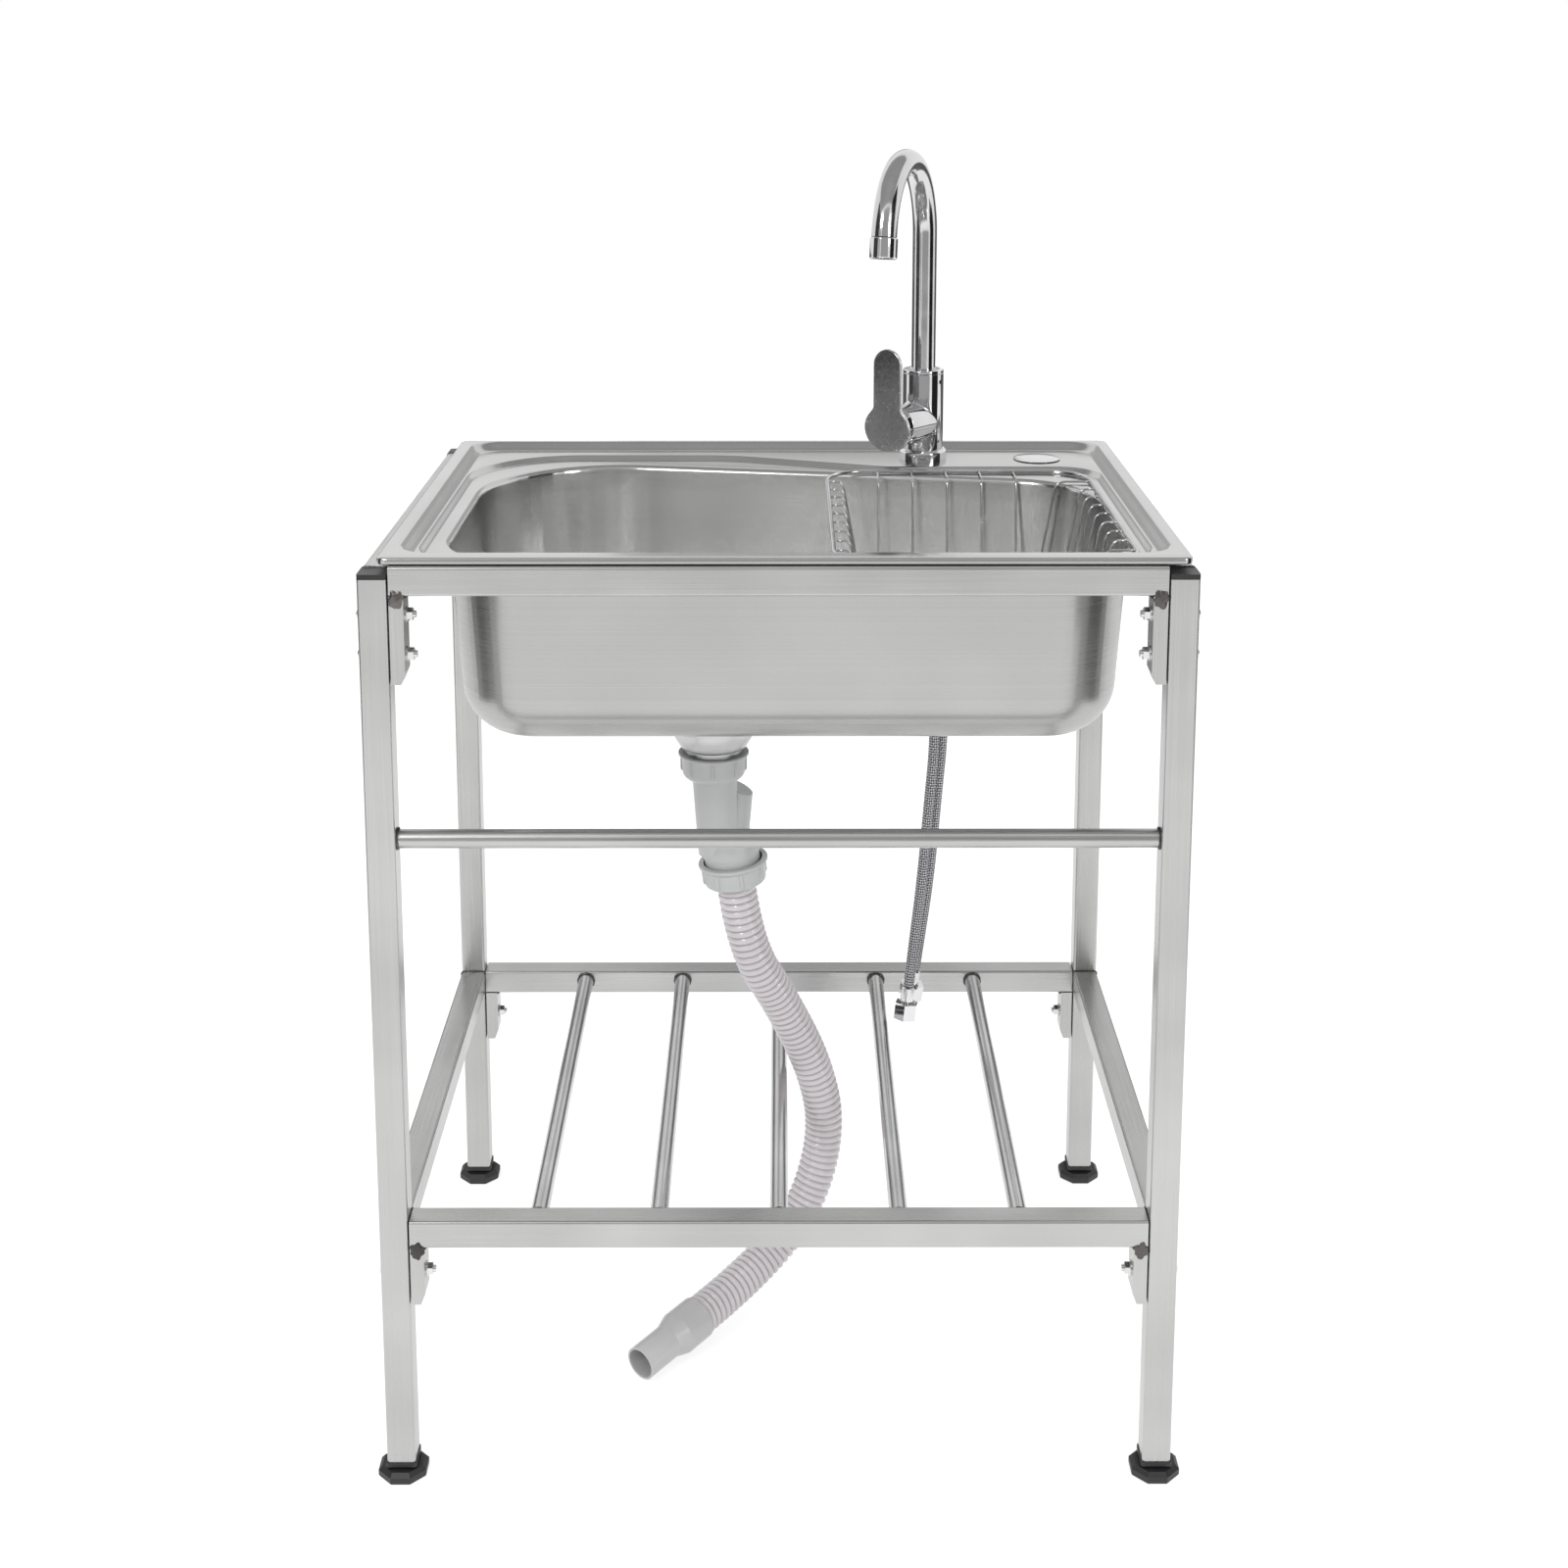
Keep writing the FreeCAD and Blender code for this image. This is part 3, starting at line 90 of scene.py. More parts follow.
def bevelEdges(piece, width, segments=3, angle=30):
    bevel = piece.modifiers.new("bevel", "BEVEL")
    bevel.width = width
    bevel.segments = segments
    bevel.limit_method = "ANGLE"
    bevel.angle_limit = math.radians(angle)
    bevel.harden_normals = False
    return applyModifiers(piece)


def sharpEdges(piece, angle=35):
    piece.data.set_sharp_from_angle(angle=math.radians(angle))
    return piece


def roundedCorners(profile, steps=5):
    """profile is (radius, height, rounding) in order; each rounding becomes a short curve"""
    line = []
    for i, (radius, height, rounding) in enumerate(profile):
        here = Vector((radius, height))
        if rounding == 0 or i in (0, len(profile) - 1):
            line.append(here)
            continue
        before = Vector(profile[i - 1][:2]) - here
        after = Vector(profile[i + 1][:2]) - here
        size = min(rounding, before.length * 0.49, after.length * 0.49)
        first = here + before.normalized() * size
        last = here + after.normalized() * size
        for step in range(steps + 1):
            t = step / steps
            line.append(first * (1 - t) ** 2 + here * 2 * t * (1 - t) + last * t ** 2)
    return line


def turnedPiece(name, profile, base, axis=up, around=64, closed=False):
    """turn a profile in millimetres about an axis that starts at base"""
    line = roundedCorners(profile)
    if closed:
        line.append(line[0])
    turn = Vector(axis).to_track_quat("Z", "Y").to_matrix()
    points = []
    uvs = []
    run = 0.0
    for i, spot in enumerate(line):
        if i:
            run += (spot - line[i - 1]).length
        for j in range(around):
            angle = 2 * math.pi * j / around
            local = Vector((spot.x * math.cos(angle), spot.x * math.sin(angle), spot.y)) * mm
            points.append(Vector(base) + turn @ local)
            uvs.append((j / around, run * mm))
    faces = []
    for i in range(len(line) - 1):
        for j in range(around):
            k = (j + 1) % around
            faces.append((i * around + j, i * around + k, (i + 1) * around + k, (i + 1) * around + j))
    piece = makeMesh(name, points, faces, uvs)
    weld = piece.modifiers.new("weld", "WELD")
    weld.merge_threshold = 1e-6
    return applyModifiers(piece)


def steadyFrames(points):
    """directions and two side vectors along a line, turned as little as possible"""
    ways = []
    for i in range(len(points)):
        a = points[max(i - 1, 0)]
        b = points[min(i + 1, len(points) - 1)]
        ways.append((b - a).normalized())
    side = ways[0].orthogonal().normalized()
    sides = []
    for i, way in enumerate(ways):
        if i:
            side = ways[i - 1].rotation_difference(way) @ side
        side = (side - way * side.dot(way)).normalized()
        sides.append((side.copy(), way.cross(side)))
    return ways, sides


def tubeAlong(name, points, radii, around=24, capped=False, bore=None):
    """skin of changing radius along a line; with a bore it turns inside at both ends"""
    ways, sides = steadyFrames(points)
    stations = [(i, radii[i]) for i in range(len(points))]
    if bore is not None:
        stations = [(0, bore)] + stations + [(len(points) - 1, bore)]
        stations += [(i, bore) for i in range(len(points) - 2, -1, -4)] + [(0, bore)]
    skin = []
    uvs = []
    lengths = [0.0]
    for i in range(1, len(points)):
        lengths.append(lengths[-1] + (points[i] - points[i - 1]).length)
    for i, radius in stations:
        for j in range(around):
            angle = 2 * math.pi * j / around
            skin.append(points[i] + (sides[i][0] * math.cos(angle) + sides[i][1] * math.sin(angle)) * radius)
            uvs.append((j / around, lengths[i]))
    faces = []
    for i in range(len(stations) - 1):
        for j in range(around):
            k = (j + 1) % around
            faces.append((i * around + j, i * around + k, (i + 1) * around + k, (i + 1) * around + j))
    if capped:
        faces.append(tuple(reversed(range(around))))
        faces.append(tuple((len(stations) - 1) * around + j for j in range(around)))
    return makeMesh(name, skin, faces, uvs)


def joinPieces(name, pieces):
    """one piece made of several meshes"""
    points = []
    faces = []
    uvs = []
    for piece in pieces:
        start = len(points)
        mesh = piece.data
        own = [(0.0, 0.0)] * len(mesh.vertices)
        if mesh.uv_layers:
            for loop in mesh.loops:
                own[loop.vertex_index] = tuple(mesh.uv_layers[0].data[loop.index].uv)
        points += [piece.matrix_world @ v.co for v in mesh.vertices]
        faces += [tuple(start + v for v in face.vertices) for face in mesh.polygons]
        uvs += own
        bpy.data.objects.remove(piece)
    return makeMesh(name, points, faces, uvs)


# materials
def shaderNodes(name):
    material = bpy.data.materials.new(name)
    material.use_nodes = True
    nodes = material.node_tree.nodes
    return material, nodes, material.node_tree.links, nodes["Principled BSDF"]


def noiseField(nodes, links, stretch, scale, detail=3.0, space="Object"):
    """noise on the piece's own coordinates, stretched by a factor along each axis"""
    place = nodes.new("ShaderNodeTexCoord")
    mapping = nodes.new("ShaderNodeMapping")
    mapping.inputs["Scale"].default_value = stretch
    noise = nodes.new("ShaderNodeTexNoise")
    noise.inputs["Scale"].default_value = scale
    noise.inputs["Detail"].default_value = detail
    links.new(place.outputs[space], mapping.inputs["Vector"])
    links.new(mapping.outputs["Vector"], noise.inputs["Vector"])
    return noise.outputs["Fac"]


def remap(nodes, links, source, low, high, fromLow=0.3, fromHigh=0.7):
    box = nodes.new("ShaderNodeMapRange")
    box.inputs["From Min"].default_value = fromLow
    box.inputs["From Max"].default_value = fromHigh
    box.inputs["To Min"].default_value = low
    box.inputs["To Max"].default_value = high
    links.new(source, box.inputs["Value"])
    return box.outputs["Result"]


def tintBetween(nodes, links, source, dark, light):
    ramp = nodes.new("ShaderNodeValToRGB")
    ramp.color_ramp.elements[0].position = 0.3
    ramp.color_ramp.elements[1].position = 0.7
    ramp.color_ramp.elements[0].color = (*dark, 1)
    ramp.color_ramp.elements[1].color = (*light, 1)
    links.new(source, ramp.inputs["Fac"])
    return ramp.outputs["Color"]


def bumpFrom(nodes, links, source, strength, distance):
    bump = nodes.new("ShaderNodeBump")
    bump.inputs["Strength"].default_value = strength
    bump.inputs["Distance"].default_value = distance
    links.new(source, bump.inputs["Height"])
    return bump.outputs["Normal"]


def brushedMetal(name, dark, light, roughness, grain, space="Object", scratch=0.08):
    """satin metal with fine lines along the axis whose stretch is small, and a slow change of tone"""
    material, nodes, links, shader = shaderNodes(name)
    lines = noiseField(nodes, links, grain, 1.0, 4.0, space)
    clouds = noiseField(nodes, links, (1, 1, 1), 9.0, 2.0)
    links.new(tintBetween(nodes, links, clouds, dark, light), shader.inputs["Base Color"])
    links.new(remap(nodes, links, lines, roughness * 0.8, roughness * 1.25), shader.inputs["Roughness"])
    links.new(bumpFrom(nodes, links, lines, scratch, 0.0002), shader.inputs["Normal"])
    shader.inputs["Metallic"].default_value = 1.0
    return material


def sinkSteelWithLitBowl(name, dark, light, inside):
    """satin deck whose base colour is painted brighter down the walls of the bowl, as painted light"""
    material = brushedMetal(name, dark, light, 0.2, (0.4, 2600, 1), "UV", 0.008)
    nodes = material.node_tree.nodes
    links = material.node_tree.links
    shader = nodes["Principled BSDF"]
    deckTone = shader.inputs["Base Color"].links[0].from_socket
    place = nodes.new("ShaderNodeTexCoord")
    split = nodes.new("ShaderNodeSeparateXYZ")
    links.new(place.outputs["Object"], split.inputs["Vector"])
    # painted light: below the bowl's edge the base colour turns from the deck tone to a much brighter inside tone
    depth = remap(nodes, links, split.outputs["Z"], 1.0, 0.0, 0.795, 0.820)
    mix = nodes.new("ShaderNodeMix")
    mix.data_type = "RGBA"
    mix.inputs[7].default_value = (*inside, 1)
    links.new(depth, mix.inputs[0])
    links.new(deckTone, mix.inputs[6])
    links.new(mix.outputs[2], shader.inputs["Base Color"])
    return material


def polishedMetal(name, dark, light, roughness):
    material, nodes, links, shader = shaderNodes(name)
    clouds = noiseField(nodes, links, (1, 1, 1), 35.0, 3.0)
    links.new(tintBetween(nodes, links, clouds, dark, light), shader.inputs["Base Color"])
    links.new(remap(nodes, links, clouds, roughness * 0.6, roughness * 1.6), shader.inputs["Roughness"])
    shader.inputs["Metallic"].default_value = 1.0
    return material


def mouldedPlastic(name, dark, light, roughness, grainSize, grainDepth, see=0.0):
    material, nodes, links, shader = shaderNodes(name)
    clouds = noiseField(nodes, links, (1, 1, 1), 14.0, 3.0)
    grain = noiseField(nodes, links, (1, 1, 1), grainSize, 2.0)
    links.new(tintBetween(nodes, links, clouds, dark, light), shader.inputs["Base Color"])
    links.new(remap(nodes, links, clouds, roughness * 0.85, roughness * 1.2), shader.inputs["Roughness"])
    links.new(bumpFrom(nodes, links, grain, grainDepth, 0.0002), shader.inputs["Normal"])
    shader.inputs["Subsurface Weight"].default_value = see
    shader.inputs["Subsurface Radius"].default_value = (0.004, 0.004, 0.004)
    return material


def ribbedPlastic(name, valley, crest, roughness):
    """soft shiny plastic with painted shade between its ribs and painted light on their crests"""
    material = mouldedPlastic(name, valley, crest, roughness, 500.0, 0.05, 0.12)
    nodes = material.node_tree.nodes
    links = material.node_tree.links
    shader = nodes["Principled BSDF"]
    # painted shade: the tone darkens in the hollows between the ribs and brightens on the crests, read from the
    # surface's pointiness
    shape = nodes.new("ShaderNodeNewGeometry")
    depth = remap(nodes, links, shape.outputs["Pointiness"], 0.0, 1.0, 0.40, 0.56)
    links.new(tintBetween(nodes, links, depth, valley, crest), shader.inputs["Base Color"])
    shader.inputs["Coat Weight"].default_value = 0.6
    shader.inputs["Coat Roughness"].default_value = 0.06
    return material


def braidedSteel(name, turns, pitch):
    """two sets of strands that cross over a hose, read from its own length and girth"""
    material, nodes, links, shader = shaderNodes(name)
    place = nodes.new("ShaderNodeTexCoord")
    split = nodes.new("ShaderNodeSeparateXYZ")
    links.new(place.outputs["UV"], split.inputs["Vector"])

    def maths(kind, a, b=None):
        node = nodes.new("ShaderNodeMath")
        node.operation = kind
        for i, value in enumerate((a, b)):
            if value is None:
                continue
            if isinstance(value, float):
                node.inputs[i].default_value = value
            else:
                links.new(value, node.inputs[i])
        return node.outputs[0]

    girth = maths("MULTIPLY", split.outputs["X"], float(turns))
    along = maths("DIVIDE", split.outputs["Y"], pitch)
    waves = []
    for kind in ("ADD", "SUBTRACT"):
        phase = maths("MULTIPLY", maths(kind, girth, along), 2 * math.pi)
        waves.append(maths("SINE", phase))
    weave = maths("MULTIPLY", waves[0], waves[1])
    height = maths("MAXIMUM", waves[0], waves[1])
    links.new(tintBetween(nodes, links, remap(nodes, links, weave, 0.2, 0.8, -0.7, 0.7),
                          (0.05, 0.05, 0.055), (0.62, 0.62, 0.64)), shader.inputs["Base Color"])
    links.new(remap(nodes, links, height, 0.5, 0.25, -0.5, 1.0), shader.inputs["Roughness"])
    links.new(bumpFrom(nodes, links, height, 0.6, 0.0006), shader.inputs["Normal"])
    shader.inputs["Metallic"].default_value = 0.9
    return material


metalTone = {"dark": (0.46, 0.46, 0.455), "light": (0.53, 0.53, 0.525)}
steelUpright = brushedMetal("steelUpright", metalTone["dark"], metalTone["light"], 0.3, (900, 900, 6))
steelAcross = brushedMetal("steelAcross", metalTone["dark"], metalTone["light"], 0.3, (6, 900, 900))
steelDepth = brushedMetal("steelDepth", metalTone["dark"], metalTone["light"], 0.3, (900, 6, 900))
steelRound = brushedMetal("steelRound", (0.50, 0.50, 0.50), (0.62, 0.62, 0.62), 0.22, (900, 8, 900))
sinkUnderside = brushedMetal("sinkUnderside", (0.43, 0.43, 0.425), (0.46, 0.46, 0.455), 0.3, (0.4, 2600, 1), "UV", 0.008)
sinkSteel = sinkSteelWithLitBowl("sinkSteel", (0.52, 0.52, 0.515), (0.56, 0.56, 0.555), (0.78, 0.78, 0.775))
chromeSkin = polishedMetal("chromeSkin", (0.66, 0.66, 0.67), (0.72, 0.72, 0.73), 0.05)
satinChrome = brushedMetal("satinChrome", (0.62, 0.62, 0.63), (0.64, 0.64, 0.65), 0.22, (300, 300, 300), scratch=0.02)
capSteel = polishedMetal("capSteel", (0.66, 0.66, 0.66), (0.72, 0.72, 0.72), 0.14)
spoutSteel = polishedMetal("spoutSteel", (0.60, 0.60, 0.61), (0.66, 0.66, 0.67), 0.12)
boltSteel = polishedMetal("boltSteel", (0.62, 0.62, 0.62), (0.76, 0.76, 0.76), 0.14)
wireSteel = polishedMetal("wireSteel", (0.50, 0.50, 0.50), (0.62, 0.62, 0.62), 0.18)
cupSteel = brushedMetal("cupSteel", (0.50, 0.50, 0.50), (0.60, 0.60, 0.60), 0.34, (1, 1, 600))
brassSkin = polishedMetal("brassSkin", (0.50, 0.36, 0.16), (0.60, 0.45, 0.22), 0.25)
heatTint = brushedMetal("heatTint", (0.03, 0.028, 0.028), (0.17, 0.16, 0.155), 0.38, (500, 500, 500), scratch=0.4)
blackPlastic = mouldedPlastic("blackPlastic", (0.012, 0.012, 0.013), (0.022, 0.022, 0.023), 0.45, 900.0, 0.25)
blackRubber = mouldedPlastic("blackRubber", (0.010, 0.010, 0.011), (0.018, 0.018, 0.018), 0.6, 600.0, 0.35)
greyPlastic = mouldedPlastic("greyPlastic", (0.44, 0.45, 0.445), (0.49, 0.50, 0.495), 0.3, 700.0, 0.10)
hosePlastic = ribbedPlastic("hosePlastic", (0.36, 0.33, 0.35), (0.60, 0.565, 0.585), 0.2)
cuffPlastic = mouldedPlastic("cuffPlastic", (0.46, 0.46, 0.46), (0.51, 0.51, 0.51), 0.3, 600.0, 0.08)
palePlastic = mouldedPlastic("palePlastic", (0.70, 0.70, 0.68), (0.76, 0.76, 0.74), 0.4, 500.0, 0.1)
braidSkin = braidedSteel("braidSkin", 8, 0.0055)
print("materials ready")


def dress(piece, material, body, slotName, *nodes):
    piece.data.materials.clear()
    piece.data.materials.append(material)
    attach(piece, body)
    if nodes:
        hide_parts(*nodes)
    return piece


# cords: the ribbed waste hose and the two braided supply hoses hang along the same routes as
# their solids
def smoothLine(route, name):
    """points along the route's own smooth spline"""
    data = bpy.data.curves.new(name, "CURVE")
    data.dimensions = "3D"
    data.resolution_u = 48
    spline = data.splines.new("NURBS")
    spline.points.add(len(route) - 1)
    for point, place in zip(spline.points, route):
        point.co = (*[value * mm for value in place], 1)
    spline.order_u = 3
    spline.use_endpoint_u = True
    guide = bpy.data.objects.new(name, data)
    bpy.context.scene.collection.objects.link(guide)
    graph = bpy.context.evaluated_depsgraph_get()
    mesh = bpy.data.meshes.new_from_object(guide.evaluated_get(graph))
    points = [v.co.copy() for v in mesh.vertices]
    bpy.data.objects.remove(guide)
    return points


def evenly(points, step):
    """the same line with points a step apart, and its length"""
    lengths = np.concatenate([[0], np.cumsum([(b - a).length for a, b in zip(points, points[1:])])])
    count = max(int(round(lengths[-1] / step)), 2)
    marks = np.linspace(0, lengths[-1], count + 1)
    flat = np.array([tuple(p) for p in points])
    return [Vector(row) for row in np.stack([np.interp(marks, lengths, flat[:, i]) for i in range(3)], 1)], \
        float(lengths[-1])


wasteHose = {"route": [(-41.0, -7.0, 449.0), (-33.0, -5.0, 385.0), (2.0, 22.0, 315.0),
                       (36.0, 44.0, 235.0), (49.0, 51.0, 162.0), (27.0, 37.0, 84.0),
                       (-27.0, 0.0, 35.0), (-78.0, -60.0, 26.5)],
             "outer": 38.0, "bore": 30.0, "valley": 32.0, "ribPitch": 7.0}


def makeWasteHose(hose=wasteHose):
    line, length = evenly(smoothLine(hose["route"], "wasteLine"), hose["ribPitch"] * mm / 8)
    crest = hose["outer"] / 2 * mm
    valley = hose["valley"] / 2 * mm
    ribs = round(length / (hose["ribPitch"] * mm))
    radii = []
    for i in range(len(line)):
        phase = (i / (len(line) - 1) * ribs) % 1
        radii.append(valley + (crest - valley) * math.sin(math.pi * phase) ** 0.55)
    skin = tubeAlong("wasteHose", line, radii, 48, bore=hose["bore"] / 2 * mm)
    dress(skin, hosePlastic, "stand", "hose_plastic", "waste_hose")


supplyHoses = {"cold": [(138.5, 187.0, 776.0), (140.0, 187.5, 700.0), (157.0, 177.0, 620.0),
                        (162.0, 169.0, 540.0), (155.0, 165.0, 460.0), (149.0, 165.0, 380.0),
                        (141.0, 162.0, 312.0), (136.0, 158.0, 266.0)],
               "hot": [(153.5, 187.0, 776.0), (155.0, 188.0, 705.0), (168.0, 184.0, 625.0),
                       (171.0, 179.0, 545.0), (164.0, 176.5, 465.0), (158.0, 177.5, 385.0),
                       (150.0, 182.0, 318.0), (144.0, 187.0, 272.0)],
               "diameter": 11.0}


def makeSupplyHose(side, hoses=supplyHoses):
    line, length = evenly(smoothLine(hoses[side], side + "Line"), 0.004)
    radius = hoses["diameter"] / 2 * mm
    skin = tubeAlong(side + "Hose", line, [radius] * len(line), 32, capped=True)
    dress(skin, braidSkin, "stand", "braid", side + "_hose")


makeWasteHose()
makeSupplyHose("cold")
makeSupplyHose("hot")
print("hoses ready")


# the stand: its tubes keep their own shape and get a brushed finish along their length
standFinish = {
    "leg_front_left": steelUpright, "leg_front_right": steelUpright, "leg_back_left": steelUpright,
    "leg_back_right": steelUpright, "rail_tabs": steelUpright, "top_rail_front": steelAcross,
    "top_rail_back": steelAcross, "shelf_rail_front": steelAcross, "shelf_rail_back": steelAcross,
    "front_brace": steelAcross, "top_rail_left": steelDepth, "top_rail_right": steelDepth,
    "shelf_rail_left": steelDepth, "shelf_rail_right": steelDepth, "shelf_bars": steelRound,
    "frame_bolts": boltSteel, "frame_nuts": boltSteel, "leg_caps": blackPlastic,
    "foot_sockets": blackPlastic, "foot_front_left": blackPlastic, "foot_front_right": blackPlastic,
    "foot_back_left": blackPlastic, "foot_back_right": blackPlastic}

plumbingFinish = {
    "sound_pad": blackRubber, "drain_cup": cupSteel, "drain_seal": blackRubber,
    "drain_lock_ring": blackPlastic, "strainer": cupSteel, "strainer_plug": blackRubber,
    "drain_nut": greyPlastic, "tail_pipe": greyPlastic, "hose_nut": greyPlastic,
    "hose_cuff": cuffPlastic, "waste_hose": hosePlastic, "cold_hose": braidSkin, "hot_hose": braidSkin,
    "supply_ferrules": boltSteel, "cold_nut": chromeSkin, "hot_nut": chromeSkin}

faucetFinish = {
    "faucet_base": chromeSkin, "faucet_body": chromeSkin, "faucet_shank": brassSkin,
    "faucet_washer": blackRubber, "faucet_nut": brassSkin, "spout_collar": chromeSkin,
    "spout": spoutSteel, "spout_screw": blackPlastic, "aerator": chromeSkin, "aerator_screen": palePlastic,
    "cartridge": palePlastic, "cartridge_carrier": palePlastic, "bonnet": chromeSkin,
    "lever_stem": boltSteel, "lever": chromeSkin, "hole_cover": chromeSkin, "cover_nut": blackPlastic,
    "sink": sinkSteel, "basket_rim": wireSteel, "basket_cross_wires": wireSteel,
    "basket_long_wires": wireSteel}


def finishNodes(finish):
    for name, material in finish.items():
        node = frame["nodes"][name] if not isinstance(frame["nodes"], list) else bpy.data.objects[name]
        for place in node.material_slots:
            place.material = material


finishNodes(standFinish)
finishNodes(plumbingFinish)
finishNodes(faucetFinish)
print("solids finished")


# the pressed sink: one sheet drawn as rings round the drain, from the lip in to the drain hole
sinkShape = {
    "left": -330.0, "right": 340.0, "front": -257.0, "back": 243.0, "corner": 8.0, "rimTop": 834.0,
    "lip": 4.9, "lipRound": 2.0, "marginLeft": 14.0, "marginRight": 12.0, "marginFront": 21.0,
    "marginBack": 7.0, "recessCorner": 28.0, "recessSlope": 10.0, "deckTop": 826.0,
    "shoulderTop": 821.0, "shoulderSlope": 6.0, "shoulderLeft": -300.0, "shoulderRight": 312.0,
    "shoulderFront": -220.0, "shoulderBackRight": 142.0, "shoulderBackLeft": 200.0, "bend": 20.0,
    "bendStart": 125.0, "bendInner": 90.0, "bendOuter": 150.0, "bowlLeft": -285.0, "bowlRight": 303.0,
    "bowlFront": -212.0, "bowlSlant": 10.0, "bowlFrontCorner": 75.0, "bowlRightCorner": 90.0,
    "bowlLeftCorner": 130.0, "bowlRightCentre": 24.0, "edgeRound": 6.0, "draft": 8.0, "floor": 652.0,
    "floorRound": 45.0, "drainX": -62.0, "drainY": -7.0, "dishRadius": 59.0, "dishDepth": 3.0,
    "holeRadius": 42.0, "sheet": 1.0}


def arcPoints(centre, radius, start, end, steps=16):
    angles = np.radians(np.linspace(start, end, steps + 1))
    return [(centre[0] + radius * math.cos(a), centre[1] + radius * math.sin(a)) for a in angles]


def boxOutline(left, right, front, back, corner):
    return (arcPoints((right - corner, front + corner), corner, -90, 0)
            + arcPoints((right - corner, back - corner), corner, 0, 90)
            + arcPoints((left + corner, back - corner), corner, 90, 180)
            + arcPoints((left + corner, front + corner), corner, 180, 270))


def lipOutline(s, inset):
    return boxOutline(s["left"] + inset, s["right"] - inset, s["front"] + inset, s["back"] - inset,
                      max(s["corner"] - inset, 1))


def recessOutline(s, inset):
    return boxOutline(s["left"] + s["marginLeft"] + inset, s["right"] - s["marginRight"] - inset,
                      s["front"] + s["marginFront"] + inset, s["back"] - s["marginBack"] - inset,
                      s["recessCorner"] - inset / 2)


def shoulderOutline(s, inset):
    corner = 35.0
    leftCorner = 100.0
    sine = math.sin(math.radians(s["bend"]))
    cosine = math.cos(math.radians(s["bend"]))
    both = s["bendInner"] + s["bendOuter"]
    rise = s["shoulderBackLeft"] - s["shoulderBackRight"] - both * (1 - cosine)
    reach = both * sine + rise * cosine / sine
    inner = (s["bendStart"], s["shoulderBackRight"] + s["bendInner"])
    outer = (s["bendStart"] - reach, s["shoulderBackLeft"] - s["bendOuter"])
    right = s["shoulderRight"] - corner
    left = s["shoulderLeft"]
    return (arcPoints((right, s["shoulderFront"] + corner), corner - inset, -90, 0)
            + arcPoints((right, s["shoulderBackRight"] - corner), corner - inset, 0, 90)
            + arcPoints(inner, s["bendInner"] + inset, 270, 270 - s["bend"])
            + arcPoints(outer, s["bendOuter"] - inset, 90 - s["bend"], 90)
            + arcPoints((left + leftCorner, s["shoulderBackLeft"] - leftCorner), leftCorner - inset, 90, 180)
            + arcPoints((left + corner, s["shoulderFront"] + corner), corner - inset, 180, 270))


def bowlOutline(s, inset):
    slant = math.radians(s["bowlSlant"])
    rightCentre = (s["bowlRight"] - s["bowlRightCorner"], s["bowlRightCentre"])
    leftX = s["bowlLeft"] + s["bowlLeftCorner"]
    drop = s["bowlRightCorner"] - s["bowlLeftCorner"] - (leftX - rightCentre[0]) * math.sin(slant)
    leftCentre = (leftX, rightCentre[1] + drop / math.cos(slant))
    front = s["bowlFront"] + s["bowlFrontCorner"]
    return (arcPoints((s["bowlRight"] - s["bowlFrontCorner"], front), s["bowlFrontCorner"] - inset, -90, 0)
            + arcPoints(rightCentre, s["bowlRightCorner"] - inset, 0, 90 - s["bowlSlant"])
            + arcPoints(leftCentre, s["bowlLeftCorner"] - inset, 90 - s["bowlSlant"], 180)
            + arcPoints((s["bowlLeft"] + s["bowlFrontCorner"], front), s["bowlFrontCorner"] - inset, 180, 270))


def smoothStep(t):
    return t * t * (3 - 2 * t)


def sinkRings(s):
    """outline and height of each ring, from the lip in to the drain hole"""
    rings = [(lipOutline(s, 0), s["rimTop"] - s["lip"]), (lipOutline(s, 0), s["rimTop"] - s["lipRound"])]
    for step in range(1, 6):
        angle = math.radians(90 * step / 5)
        inset = s["lipRound"] * (1 - math.cos(angle))
        rings.append((lipOutline(s, inset), s["rimTop"] - s["lipRound"] * (1 - math.sin(angle))))
    for step in range(13):
        t = step / 12
        inset = -2 + (s["recessSlope"] + 2) * t
        rings.append((recessOutline(s, inset), s["rimTop"] - (s["rimTop"] - s["deckTop"]) * smoothStep(t)))
    for step in range(11):
        t = step / 10
        inset = -s["shoulderSlope"] * (1 - t)
        height = s["deckTop"] - (s["deckTop"] - s["shoulderTop"]) * smoothStep(t)
        rings.append((shoulderOutline(s, inset), height))
    for step in range(7):
        angle = math.radians(90 * step / 6)
        rings.append((bowlOutline(s, -s["edgeRound"] * (1 - math.sin(angle))),
                      s["shoulderTop"] - s["edgeRound"] * (1 - math.cos(angle))))
    wallTop = s["shoulderTop"] - s["edgeRound"]
    wallEnd = s["floor"] + s["floorRound"]
    for step in range(1, 9):
        t = step / 8
        rings.append((bowlOutline(s, s["draft"] * t), wallTop + (wallEnd - wallTop) * t))
    for step in range(1, 13):
        angle = math.radians(90 * step / 12)
        rings.append((bowlOutline(s, s["draft"] + s["floorRound"] * (1 - math.cos(angle))),
                      wallEnd - s["floorRound"] * math.sin(angle)))
    return rings


